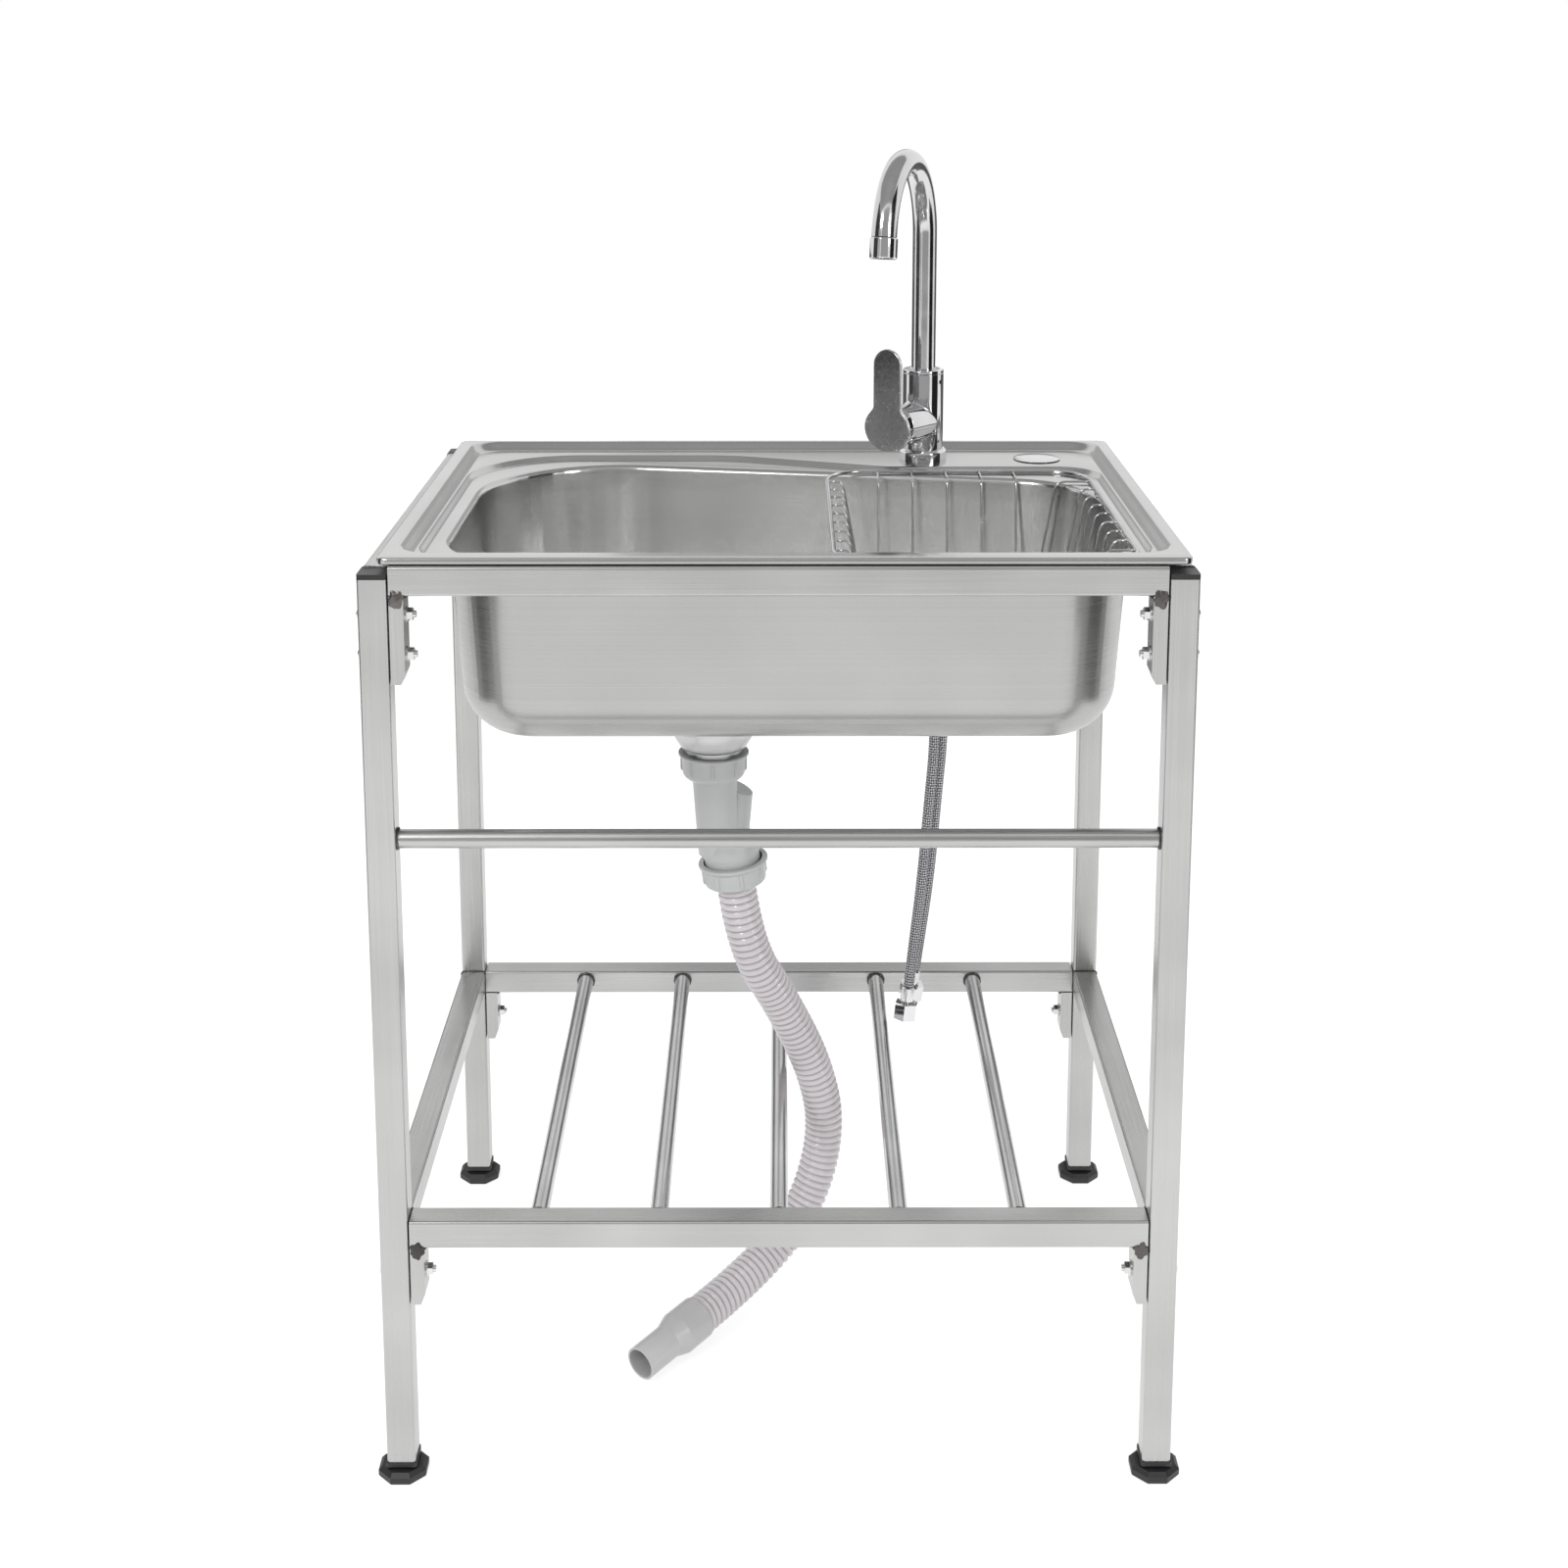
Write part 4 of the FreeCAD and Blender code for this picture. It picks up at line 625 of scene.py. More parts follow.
def makeSink(s=sinkShape):
    drain = np.array([s["drainX"], s["drainY"]])
    extra = []
    for x, y in ((s["left"], s["front"]), (s["right"], s["front"]), (s["right"], s["back"]), (s["left"], s["back"])):
        middle = math.atan2(y - drain[1], x - drain[0])
        extra += list(middle + np.radians(np.linspace(-5, 5, 25)))
    angles = np.unique(np.round(np.mod(np.concatenate([np.radians(np.arange(0, 360, 0.9)), extra]), 2 * math.pi), 5))
    rows = []
    for outline, height in sinkRings(s):
        spots = np.array(outline) - drain
        turn = np.mod(np.arctan2(spots[:, 1], spots[:, 0]), 2 * math.pi)
        order = np.argsort(turn)
        turn = turn[order]
        spots = spots[order]
        # straight runs are cut where a ray crosses them, so the reach is worked out run by run
        after = np.roll(spots, -1, axis=0)
        reach = np.zeros(len(angles))
        cells = np.searchsorted(turn, angles, side="right") - 1
        for i, (angle, cell) in enumerate(zip(angles, cells)):
            a = spots[cell]
            b = after[cell]
            way = np.array([math.cos(angle), math.sin(angle)])
            run = b - a
            cross = way[0] * run[1] - way[1] * run[0]
            reach[i] = (a[0] * run[1] - a[1] * run[0]) / cross if abs(cross) > 1e-9 else np.hypot(*a)
        rows.append([(drain[0] + r * math.cos(a), drain[1] + r * math.sin(a), height)
                     for a, r in zip(angles, reach)])
    flat = rows[-1]
    for step in range(1, 9):
        t = step / 8
        rows.append([(x + (drain[0] + s["dishRadius"] * math.cos(a) - x) * t,
                      y + (drain[1] + s["dishRadius"] * math.sin(a) - y) * t, height)
                     for (x, y, height), a in zip(flat, angles)])
    for step in range(1, 7):
        t = step / 6
        rows.append([(drain[0] + (s["dishRadius"] - 3 * t) * math.cos(a),
                      drain[1] + (s["dishRadius"] - 3 * t) * math.sin(a),
                      s["floor"] - s["dishDepth"] * smoothStep(t)) for a in angles])
    rows.append([(drain[0] + s["holeRadius"] * math.cos(a), drain[1] + s["holeRadius"] * math.sin(a),
                  s["floor"] - s["dishDepth"]) for a in angles])
    points = []
    uvs = []
    down = 0.0
    for i, row in enumerate(rows):
        if i:
            down += float(np.mean([math.dist(a, b) for a, b in zip(row, rows[i - 1])])) * mm
        for angle, spot in zip(angles, row):
            points.append(Vector(spot) * mm)
            uvs.append((angle * 0.25, down))
    count = len(angles)
    faces = []
    for i in range(len(rows) - 1):
        for j in range(count):
            k = (j + 1) % count
            faces.append((i * count + j, (i + 1) * count + j, (i + 1) * count + k, i * count + k))
    sink = makeMesh("sinkSheet", points, faces, uvs)
    thick = sink.modifiers.new("sheet", "SOLIDIFY")
    thick.thickness = s["sheet"] * mm
    thick.offset = 1
    sink.data.materials.append(sinkUnderside)
    sink.data.materials.append(sinkSteel)
    thick.material_offset = 1
    applyModifiers(sink)
    sharpEdges(sink, 60)
    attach(sink, "stand")
    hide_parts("sink")
    return sink


def makeLipShadowStrip(s=sinkShape):
    """dark strip under the sink's lip, a little back from the edge: painted shadow for the gap between the lip and the
    rails
    """
    line = [Vector((x, y, s["rimTop"] - 5.4)) * mm for x, y in lipOutline(s, 1.6)]
    line.append(line[0].copy())
    strip = tubeAlong("lipShadowStrip", line, [0.6 * mm] * len(line), 10)
    # painted shadow: a thin black tube with the black rubber finish stands for the shade under the lip
    dress(strip, blackRubber, "stand", "black_rubber")


makeSink()
makeLipShadowStrip()
print("sink ready")


# the faucet: turned and bent pieces, all round the tap hole's upright
faucet = {"x": 146.0, "y": 187.0, "deck": 826.0, "baseRadius": 24.5, "baseTop": 838.0,
          "bodyRadius": 20.5, "bodyTop": 915.0, "collarTop": 919.0, "socketRadius": 9.56,
          "heading": 38.0, "axisHeight": 866.0, "housingRadius": 20.0, "housingEnd": 46.0,
          "cartridgeRadius": 17.5, "saddle": 2.2, "screwHeight": 907.0, "screwHeading": 53.0,
          "screwRadius": 2.1}
tap = Vector((faucet["x"], faucet["y"], 0)) * mm
leverWay = Vector((-math.sin(math.radians(faucet["heading"])), -math.cos(math.radians(faucet["heading"])), 0))
leverSide = Vector((leverWay.y, -leverWay.x, 0)) * -1
leverPlace = tap + up * faucet["axisHeight"] * mm


def tapHeight(value):
    return tap + up * value * mm


def bendBetween(a, b, blend):
    """smooth largest of two distances"""
    h = np.clip(0.5 + 0.5 * (a - b) / blend, 0, 1)
    return b * (1 - h) + a * h + blend * h * (1 - h)


def makeFaucetBody(f=faucet):
    """upright barrel and level housing; the housing grows out of the barrel through a small fillet"""
    around = 128
    low = f["baseTop"]
    high = f["bodyTop"]
    outer = f["bodyRadius"]
    barrel = turnedPiece("barrel", [(outer - 4, low, 0), (outer, low, 0.5), (outer, high, 0.5),
                                    (f["socketRadius"], high, 0.3), (f["socketRadius"], high - 20, 0),
                                    (outer - 4, high - 20, 0), (outer - 4, low, 0)], tap, around=around)
    turn = math.radians(f["screwHeading"])
    way = Vector((math.sin(turn), -math.cos(turn), 0))
    drill = turnedPiece("drill", [(0.001, 0, 0), (f["screwRadius"], 0, 0), (f["screwRadius"], 8, 0),
                                  (0.001, 8, 0)], tapHeight(f["screwHeight"]) + way * 15 * mm, way, 32)
    hole = barrel.modifiers.new("hole", "BOOLEAN")
    hole.object = drill
    hole.solver = "EXACT"
    applyModifiers(barrel)
    bpy.data.objects.remove(drill)
    skin = []
    tiles = []
    steps = 36
    for i in range(steps + 1):
        for j in range(around):
            angle = 2 * math.pi * j / around
            side = math.cos(angle)
            lift = math.sin(angle)
            fillet = f["saddle"] * lift * lift + 0.05
            away = (f["housingEnd"] - 0.8 - outer) * (i / steps) ** 2
            rise = fillet - math.sqrt(max(fillet ** 2 - (fillet - away) ** 2, 0)) if away < fillet else 0
            radius = f["housingRadius"] + rise
            root = math.sqrt(max(outer ** 2 - (radius * side) ** 2, 0))
            along = root + (f["housingEnd"] - 0.8 - root) * (i / steps) ** 2
            skin.append(leverPlace + (leverWay * along + leverSide * radius * side + up * radius * lift) * mm)
    for i in range(steps):
        for j in range(around):
            k = (j + 1) % around
            tiles.append((i * around + j, i * around + k, (i + 1) * around + k, (i + 1) * around + j))
    housing = makeMesh("housing", skin, tiles)
    reach = f["housingEnd"]
    lip = turnedPiece("lip", [(f["housingRadius"], reach - 0.8, 0), (f["housingRadius"] - 0.25, reach - 0.25, 0),
                              (f["housingRadius"] - 0.8, reach, 0), (f["cartridgeRadius"], reach, 0),
                              (f["cartridgeRadius"], reach - 10, 0)], leverPlace, leverWay, around)
    body = sharpEdges(joinPieces("faucetBody", [barrel, housing, lip]), 50)
    dress(body, chromeSkin, "stand", "chrome_faucet", "faucet_body")


baseProfile = [(16.2, 826.0, 0), (24.5, 826.0, 0.3), (24.5, 835.4, 1.2), (21.8, 838.0, 0.8), (16.2, 838.0, 0)]
collarProfile = [(12.4, 915.2, 0), (20.5, 915.2, 0.5), (20.5, 919.0, 1.3), (12.9, 919.0, 0.6), (12.3, 918.2, 0),
                 (12.3, 915.2, 0)]
bonnetRings = {"radius": 21.0, "pivot": 40.0, "start": 46.1, "end": 52.0, "hole": 10.0}


def makeBonnet(b=bonnetRings):
    """dome over the cartridge, seen in the gap behind the lever's hub"""
    profile = [(17.3, b["start"] - 4, 0), (17.3, b["start"], 0)]
    for step in range(13):
        height = b["start"] + (b["end"] - b["start"]) * step / 12
        profile.append((math.sqrt(b["radius"] ** 2 - (height - b["pivot"]) ** 2), height, 0))
    profile += [(b["hole"] + 0.8, b["end"], 0.4), (b["hole"], b["end"] - 0.6, 0), (b["hole"], b["start"], 0)]
    bonnet = sharpEdges(turnedPiece("bonnetDome", profile, leverPlace, leverWay, 96), 50)
    dress(bonnet, chromeSkin, "stand", "chrome_faucet", "bonnet")


spoutShape = {"radius": 12.0, "bore": 10.0, "heading": 18.3, "low": 915.6, "bendHeight": 1056.0,
              "bendRadius": 76.0, "turn": 172.0, "aeratorRadius": 13.0, "aeratorBore": 9.6,
              "aeratorLength": 21.0}


def spoutLine(s=spoutShape):
    way = Vector((-math.sin(math.radians(s["heading"])), -math.cos(math.radians(s["heading"])), 0))
    line = [tapHeight(height) for height in np.linspace(s["low"], s["bendHeight"], 30)]
    for step in range(1, 121):
        turn = math.radians(s["turn"]) * step / 120
        line.append(tapHeight(s["bendHeight"]) + way * s["bendRadius"] * (1 - math.cos(turn)) * mm
                    + up * s["bendRadius"] * math.sin(turn) * mm)
    turn = math.radians(s["turn"])
    outlet = way * math.sin(turn) + up * math.cos(turn)
    return line, outlet


def makeSpout(s=spoutShape):
    line, outlet = spoutLine()
    tube = tubeAlong("spoutTube", line, [s["radius"] * mm] * len(line), 72, bore=s["bore"] * mm)
    spigot = turnedPiece("spigot", [(9.4, 895.5, 0), (9.4, 915.6, 0), (11.9, 915.6, 0)], tap)
    spout = joinPieces("swanNeck", [tube, spigot])
    dress(sharpEdges(spout, 50), spoutSteel, "spout", "spout_steel", "spout")
    bore = s["aeratorBore"]
    outer = s["aeratorRadius"]
    length = s["aeratorLength"]
    sleeve = turnedPiece("aeratorSleeve", [(bore, 0.2, 0), (outer - 1.2, 0.2, 0), (outer - 0.5, 0.7, 0.2),
                                           (outer, 1.4, 0.5), (outer, length - 1.8, 1.0),
                                           (outer - 1.3, length, 0.6), (bore + 0.7, length, 0.3),
                                           (bore, length - 0.8, 0), (bore, 0.2, 0)], line[-1], outlet, 72)
    dress(sharpEdges(sleeve, 50), chromeSkin, "spout", "chrome_faucet", "aerator")


leverShape = {"front": 64.0, "back": 60.0, "discHalfWidth": 27.0, "discHalfHeight": 23.5, "handleHalf": 16.5,
              "handleTop": 80.0, "blend": 5.0, "edge": 1.1, "hubRadius": 19.7, "hubStart": 52.0,
              "bonnetRoom": 21.5, "pivot": 40.0, "stemHole": 3.5}


def leverOutline(s=leverShape):
    """half width of the lever's plate at a row of heights, disc and handle softly joined"""
    low = -s["discHalfHeight"]
    top = s["handleTop"]
    marks = low + (top - low) * 0.5 * (1 - np.cos(np.linspace(0, math.pi, 141)))
    disc = s["discHalfWidth"] * np.sqrt(np.clip(1 - (marks / s["discHalfHeight"]) ** 2, 0, 1))
    disc = np.where(marks > s["discHalfHeight"], -20 - (marks - s["discHalfHeight"]), disc)
    over = np.clip(marks - (top - s["handleHalf"]), 0, None)
    handle = np.sqrt(np.clip(s["handleHalf"] ** 2 - over ** 2, 0, None))
    handle = np.where(marks < -8, -20, handle)
    width = bendBetween(disc, handle, s["blend"])
    # the blend would swell the tips, so they keep their own curve
    width = np.where(marks < 0, disc, np.where(marks > s["discHalfHeight"] + 8, handle, width))
    right = [(float(w), float(m)) for w, m in zip(width, marks)]
    return right[:-1] + [(-w, m) for w, m in reversed(right[1:])]


def makeLever(s=leverShape):
    outline = leverOutline()
    count = len(outline)
    centre = np.array([0.0, 20.0])
    depth = s["front"] - s["back"]
    # rounded edge from the back face over the rim to the front face, then rings in to the middle
    steps = []
    for step in range(7):
        turn = math.radians(90 * step / 6)
        steps.append((s["edge"] * (1 - math.sin(turn)), s["back"] + s["edge"] * (1 - math.cos(turn))))
    for step in range(7):
        turn = math.radians(90 * step / 6)
        steps.append((s["edge"] * (1 - math.cos(turn)), s["front"] - s["edge"] * (1 - math.sin(turn))))
    flat = np.array(outline)
    tangent = np.roll(flat, -1, axis=0) - np.roll(flat, 1, axis=0)
    normal = np.stack([-tangent[:, 1], tangent[:, 0]], 1)
    normal /= np.linalg.norm(normal, axis=1)[:, None] + 1e-9
    inside = centre - flat
    normal *= np.sign((normal * inside).sum(axis=1))[:, None]
    rows = [(flat + normal * inset, reach) for inset, reach in steps]
    points = []
    for row, reach in rows:
        for u, v in row:
            points.append(leverPlace + (leverWay * reach + leverSide * u + up * v) * mm)
    faces = []
    for i in range(len(rows) - 1):
        for j in range(count):
            k = (j + 1) % count
            faces.append((i * count + j, (i + 1) * count + j, (i + 1) * count + k, i * count + k))
    faces.append(tuple(range(count)))
    last = (len(rows) - 1) * count
    faces.append(tuple(last + j for j in reversed(range(count))))
    plate = makeMesh("plate", points, faces)
    room = []
    for step in range(9):
        height = s["hubStart"] + (59 - s["hubStart"]) * step / 8
        room.append((math.sqrt(s["bonnetRoom"] ** 2 - (height - s["pivot"]) ** 2), height, 0))
    hub = turnedPiece("hub", [(s["stemHole"], 59.0, 0)] + room[::-1]
                      + [(s["hubRadius"] - 0.6, s["hubStart"], 0), (s["hubRadius"], s["hubStart"] + 0.6, 0),
                         (s["hubRadius"], 60.2, 0)], leverPlace, leverWay, 96)
    lever = sharpEdges(joinPieces("leverHandle", [plate, hub]), 40)
    dress(lever, satinChrome, "lever", "chrome_faucet", "lever")


def makeFaucet():
    base = sharpEdges(turnedPiece("tapBase", baseProfile, tap, around=96), 50)
    dress(base, chromeSkin, "stand", "chrome_faucet", "faucet_base")
    collar = sharpEdges(turnedPiece("bodyCollar", collarProfile, tap, around=96), 50)
    dress(collar, chromeSkin, "stand", "chrome_faucet", "spout_collar")
    makeFaucetBody()
    makeBonnet()
    makeSpout()
    makeLever()


holeCover = {"x": 262.0, "y": 184.0, "radius": 23.5, "rise": 3.0, "deck": 826.0}


def makeHoleCover(c=holeCover):
    """low dome with a rolled edge, and the dark gasket it sits on"""
    place = Vector((c["x"], c["y"], c["deck"])) * mm
    profile = [(0.001, c["rise"], 0)]
    for step in range(1, 15):
        t = step / 14
        profile.append(((c["radius"] - 0.8) * t, 1.4 + (c["rise"] - 1.4) * (1 - t ** 2.4), 0))
    profile += [(c["radius"] - 0.15, 1.15, 0), (c["radius"], 1.05, 0), (c["radius"] - 0.2, 0.9, 0),
                (c["radius"] - 1.5, 0.9, 0)]
    cover = turnedPiece("holeCap", profile, place, around=96)
    stud = turnedPiece("capStud", [(0.001, 0.6, 0), (3.0, 0.6, 0), (3.0, -23.5, 0.5), (0.001, -23.5, 0)], place)
    dress(joinPieces("spareHoleCap", [cover, stud]), capSteel, "stand", "chrome_faucet", "hole_cover")
    gasket = turnedPiece("capGasket", [(4.0, 0.02, 0), (c["radius"] - 0.2, 0.02, 0), (c["radius"] - 0.2, 0.9, 0),
                                       (4.0, 0.9, 0)], place, around=96)
    dress(gasket, blackRubber, "stand", "black_rubber")


makeFaucet()
makeHoleCover()
print("faucet ready")


# welds: small rippled beads where the tubes were joined, darkened by the heat
welds = {"railHalf": 319.0, "legY": 250.0, "tabTops": (803.0, 221.5), "tabWidth": 12.0,
         "sideRailTops": (821.5, 246.5), "barHeight": 236.0, "barPitch": 105.0, "barCount": 5,
         "braceHeight": 590.0, "tube": 25.0, "bead": 1.5}


def rippledBead(name, line, radius, closed=True, seed=0.0):
    """bead along a line, its thickness rippled the way a torch leaves it"""
    radii = []
    for i, spot in enumerate(line):
        wave = 0.12 * math.sin(i * 1.9 + seed) + 0.16 * math.sin(i * 0.47 + seed * 3)
        radii.append(radius * (1 + wave))
    if closed:
        line = line + [line[0]]
        radii = radii + [radii[0]]
    return tubeAlong(name, line, radii, 10, capped=not closed)


def ringLine(centre, axis, radius, count=40):
    turn = Vector(axis).to_track_quat("Z", "Y").to_matrix()
    return [Vector(centre) * mm + turn @ Vector((math.cos(2 * math.pi * i / count) * radius * mm,
                                                math.sin(2 * math.pi * i / count) * radius * mm, 0))
            for i in range(count)]


def squareLine(centre, half, corner=2.5, steps=6):
    """rounded square in the plane across Y"""
    line = []
    for turn, (sx, sz) in enumerate(((1, 1), (-1, 1), (-1, -1), (1, -1))):
        for step in range(steps + 1):
            angle = math.radians(90 * turn + 90 * step / steps)
            line.append(Vector((centre[0] + sx * (half - corner) + corner * math.cos(angle), centre[1],
                                centre[2] + sz * (half - corner) + corner * math.sin(angle))) * mm)
        if turn < 3:
            continue
    fine = []
    for a, b in zip(line, line[1:] + line[:1]):
        pieces = max(int((b - a).length / (1.2 * mm)), 1)
        fine += [a.lerp(b, i / pieces) for i in range(pieces)]
    return fine


def weldBlob(centre, size, seed):
    """lump of weld: a ball squashed to size and pushed about by layered waves"""
    rings = 18
    around = 28
    points = []
    for i in range(rings + 1):
        polar = math.pi * i / rings
        for j in range(around):
            turn = 2 * math.pi * j / around
            spot = Vector((math.sin(polar) * math.cos(turn), math.sin(polar) * math.sin(turn), math.cos(polar)))
            push = 1 + 0.10 * math.sin(5 * spot.x + 3 * spot.z + seed) + 0.07 * math.sin(9 * spot.z - 4 * spot.x + 2 * seed)
            points.append(Vector([(c + s * p * push) * mm for c, s, p in zip(centre, size, spot)]))
    faces = []
    for i in range(rings):
        for j in range(around):
            k = (j + 1) % around
            faces.append((i * around + j, (i + 1) * around + j, (i + 1) * around + k, i * around + k))
    return makeMesh("blob", points, faces)


def makeWelds(w=welds):
    blobs = []
    seed = 0.0
    for side in (-1, 1):
        for front in (-1, 1):
            for top in w["tabTops"]:
                seed += 1.7
                x = side * (w["railHalf"] - w["tabWidth"] / 2)
                blobs.append(weldBlob((x, front * (w["legY"] + 12.2), top - 2.5), (6.2, 1.9, 8.0), seed))
                blobs.append(weldBlob((x - side * 6.2, front * w["legY"], top - 1.5), (1.8, 11.0, 2.4), seed + 4))
    dress(joinPieces("tabWelds", blobs), heatTint, "stand", "brushed_stand")
    beads = []
    first = -w["barPitch"] * (w["barCount"] - 1) / 2
    for i in range(w["barCount"]):
        for front in (-1, 1):
            spot = (first + i * w["barPitch"], front * 236.9, w["barHeight"])
            beads.append(rippledBead("bead", ringLine(spot, (0, 1, 0), 8.3), w["bead"] * 0.9 * mm, True, i + front))
    for side in (-1, 1):
        spot = (side * 319.4, -w["legY"], w["braceHeight"])
        beads.append(rippledBead("bead", ringLine(spot, (1, 0, 0), 8.3), w["bead"] * 0.8 * mm, True, side))
        for front in (-1, 1):
            for top in w["sideRailTops"]:
                spot = (side * 332.5, front * 237.0, top - w["tube"] / 2)
                beads.append(rippledBead("bead", squareLine(spot, w["tube"] / 2), w["bead"] * 0.7 * mm, True, side + top))
    dress(joinPieces("tubeWelds", beads), heatTint, "stand", "brushed_stand")


makeWelds()
print("welds ready")


# grey slip nuts on the drain, with grip lugs and a soft lip
slipNut = {"flange": 33.5, "body": 30.0, "inner": 28.5, "height": 26.0, "lugs": 8}


def makeSlipNut(name, node, start, axis, bore, n=slipNut):
    shoulder = n["height"] - 4
    profile = [(n["inner"], 0.0, 0), (n["flange"] - 0.9, 0, 0), (n["flange"], 0.9, 0.5), (n["flange"], 3.0, 0.9),
               (n["body"] + 0.5, 4.8, 0.8), (n["body"] - 0.5, shoulder, 2.2), (bore + 3, n["height"] - 0.1, 1.2),
               (bore, n["height"] - 0.1, 0.6), (bore, shoulder, 0.6), (n["inner"], shoulder, 0), (n["inner"], 0, 0)]
    parts = [turnedPiece("nutShell", profile, start, axis, 96)]
    turn = Vector(axis).to_track_quat("Z", "Y").to_matrix()
    for i in range(n["lugs"]):
        angle = 2 * math.pi * i / n["lugs"]
        points = []
        # a lug is a rounded ridge that fades into the shell at both ends
        rows = 12
        cuts = 9
        for row in range(rows + 1):
            height = 2.4 + (shoulder - 4.0) * row / rows
            swell = math.sin(math.pi * min(row, rows - row, 2) / 4) ** 0.6 if row not in (0, rows) else 0
            for cut in range(cuts + 1):
                across = -1 + 2 * cut / cuts
                rise = n["body"] - 0.9 + 2.6 * swell * (1 - across ** 4)
                bend = angle + across * 1.9 / n["body"]
                local = Vector((rise * math.cos(bend), rise * math.sin(bend), height)) * mm
                points.append(Vector(start) + turn @ local)
        faces = [(r * (cuts + 1) + c, r * (cuts + 1) + c + 1, (r + 1) * (cuts + 1) + c + 1, (r + 1) * (cuts + 1) + c)
                 for r in range(rows) for c in range(cuts)]
        parts.append(makeMesh("lug", points, faces))
    nut = sharpEdges(joinPieces(name, parts), 45)
    dress(nut, greyPlastic, "stand", "grey_plastic", node)


drainCup = {"x": -62.0, "y": -7.0, "flange": 57.0, "flangeLow": 648.0, "outer": 40.0, "wall": 1.5,
            "bottom": 588.0, "neck": 28.5, "neckBottom": 566.0}


def makeDrainCup(c=drainCup):
    """pressed cup: flange in the floor of the bowl, drawn wall, rounded bottom and threaded neck"""
    low = c["flangeLow"]
    wall = c["wall"]
    outer = c["outer"]
    profile = [(c["flange"], low + 0.2, 0), (c["flange"], low + wall, 0.5), (outer - wall, low + wall, 1.5),
               (outer - wall, c["bottom"] + 14, 8), (outer - 8, c["bottom"] + wall, 5),
               (c["neck"] - 3, c["bottom"] + wall, 1), (c["neck"] - 3, c["neckBottom"], 0.3)]
    for thread in range(8):
        height = c["neckBottom"] + 0.8 + thread * 2.0
        profile += [(c["neck"] - 0.9, height, 0), (c["neck"] - 0.1, height + 1.0, 0.2)]
    profile += [(c["neck"] - 0.9, c["bottom"] - 1.2, 0), (c["neck"] - 0.6, c["bottom"], 0.6),
                (outer - 9, c["bottom"] + 0.2, 6), (outer, c["bottom"] + 15, 10), (outer, low + 0.2, 0),
                (c["flange"], low + 0.2, 0)]
    place = Vector((c["x"], c["y"], 0)) * mm
    cup = sharpEdges(turnedPiece("cupShell", profile, place, around=128), 50)
    dress(cup, cupSteel, "stand", "cup_steel", "drain_cup")


makeDrainCup()
hoseWay = (Vector(wasteHose["route"][1]) - Vector(wasteHose["route"][0])).normalized()
makeSlipNut("cupNut", "drain_nut", Vector((drainCup["x"], drainCup["y"], 583.0)) * mm, (0, 0, -1), 22.2)
makeSlipNut("outletNut", "hose_nut", (Vector(wasteHose["route"][0]) - hoseWay * slipNut["height"]) * mm,
            hoseWay, 15.2)
print("drain ready")


# the draining basket: thin wires bent down from a thicker rim, with a spot of weld at each end
basket = {"left": 47.0, "right": 304.0, "front": -215.0, "back": 136.0, "backCorner": 42.0,
          "frontCorner": 24.0, "rimRadius": 2.0, "wireRadius": 1.1, "top": 823.3, "floor": 718.0,
          "slope": 19.0, "ledgeSide": 15.0, "ledgeBack": 32.0, "bend": 9.0, "wallMargin": 6.0,
          "longCount": 5, "longPitch": 33.7, "longMiddle": 165.0, "crossCount": 9, "crossPitch": 34.5,
          "crossMiddle": -50.0}


def bentWire(stops, bend, steps=8):
    """straight runs with a soft bend at every corner"""
    line = []
    for i, spot in enumerate(stops):
        here = Vector(spot)
        if i in (0, len(stops) - 1):
            line.append(here)
            continue
        before = Vector(stops[i - 1]) - here
        after = Vector(stops[i + 1]) - here
        first = here + before.normalized() * min(bend, before.length * 0.45)
        last = here + after.normalized() * min(bend, after.length * 0.45)
        for step in range(steps + 1):
            t = step / steps
            line.append(first * (1 - t) ** 2 + here * 2 * t * (1 - t) + last * t ** 2)
    fine = [line[0]]
    for spot in line[1:]:
        pieces = max(int((spot - fine[-1]).length / 4.0), 1)
        start = fine[-1]
        fine += [start.lerp(spot, (i + 1) / pieces) for i in range(pieces)]
    return [spot * mm for spot in fine]


def bowlRightEdge(y, s=sinkShape):
    edge = s["bowlRight"]
    backReach = y - s["bowlRightCentre"]
    frontReach = s["bowlFront"] + s["bowlFrontCorner"] - y
    if backReach > 0:
        edge -= s["bowlRightCorner"] - math.sqrt(s["bowlRightCorner"] ** 2 - backReach ** 2)
    if frontReach > 0:
        edge -= s["bowlFrontCorner"] - math.sqrt(s["bowlFrontCorner"] ** 2 - frontReach ** 2)
    return edge


def uWire(ends, turns, floor, place, b=basket):
    stops = [(ends[0], b["top"]), (turns[0], b["top"]), (turns[0] + b["slope"], floor),
             (turns[1] - b["slope"], floor), (turns[1], b["top"]), (ends[1], b["top"])]
    return bentWire([place(s, z) for s, z in stops], b["bend"])


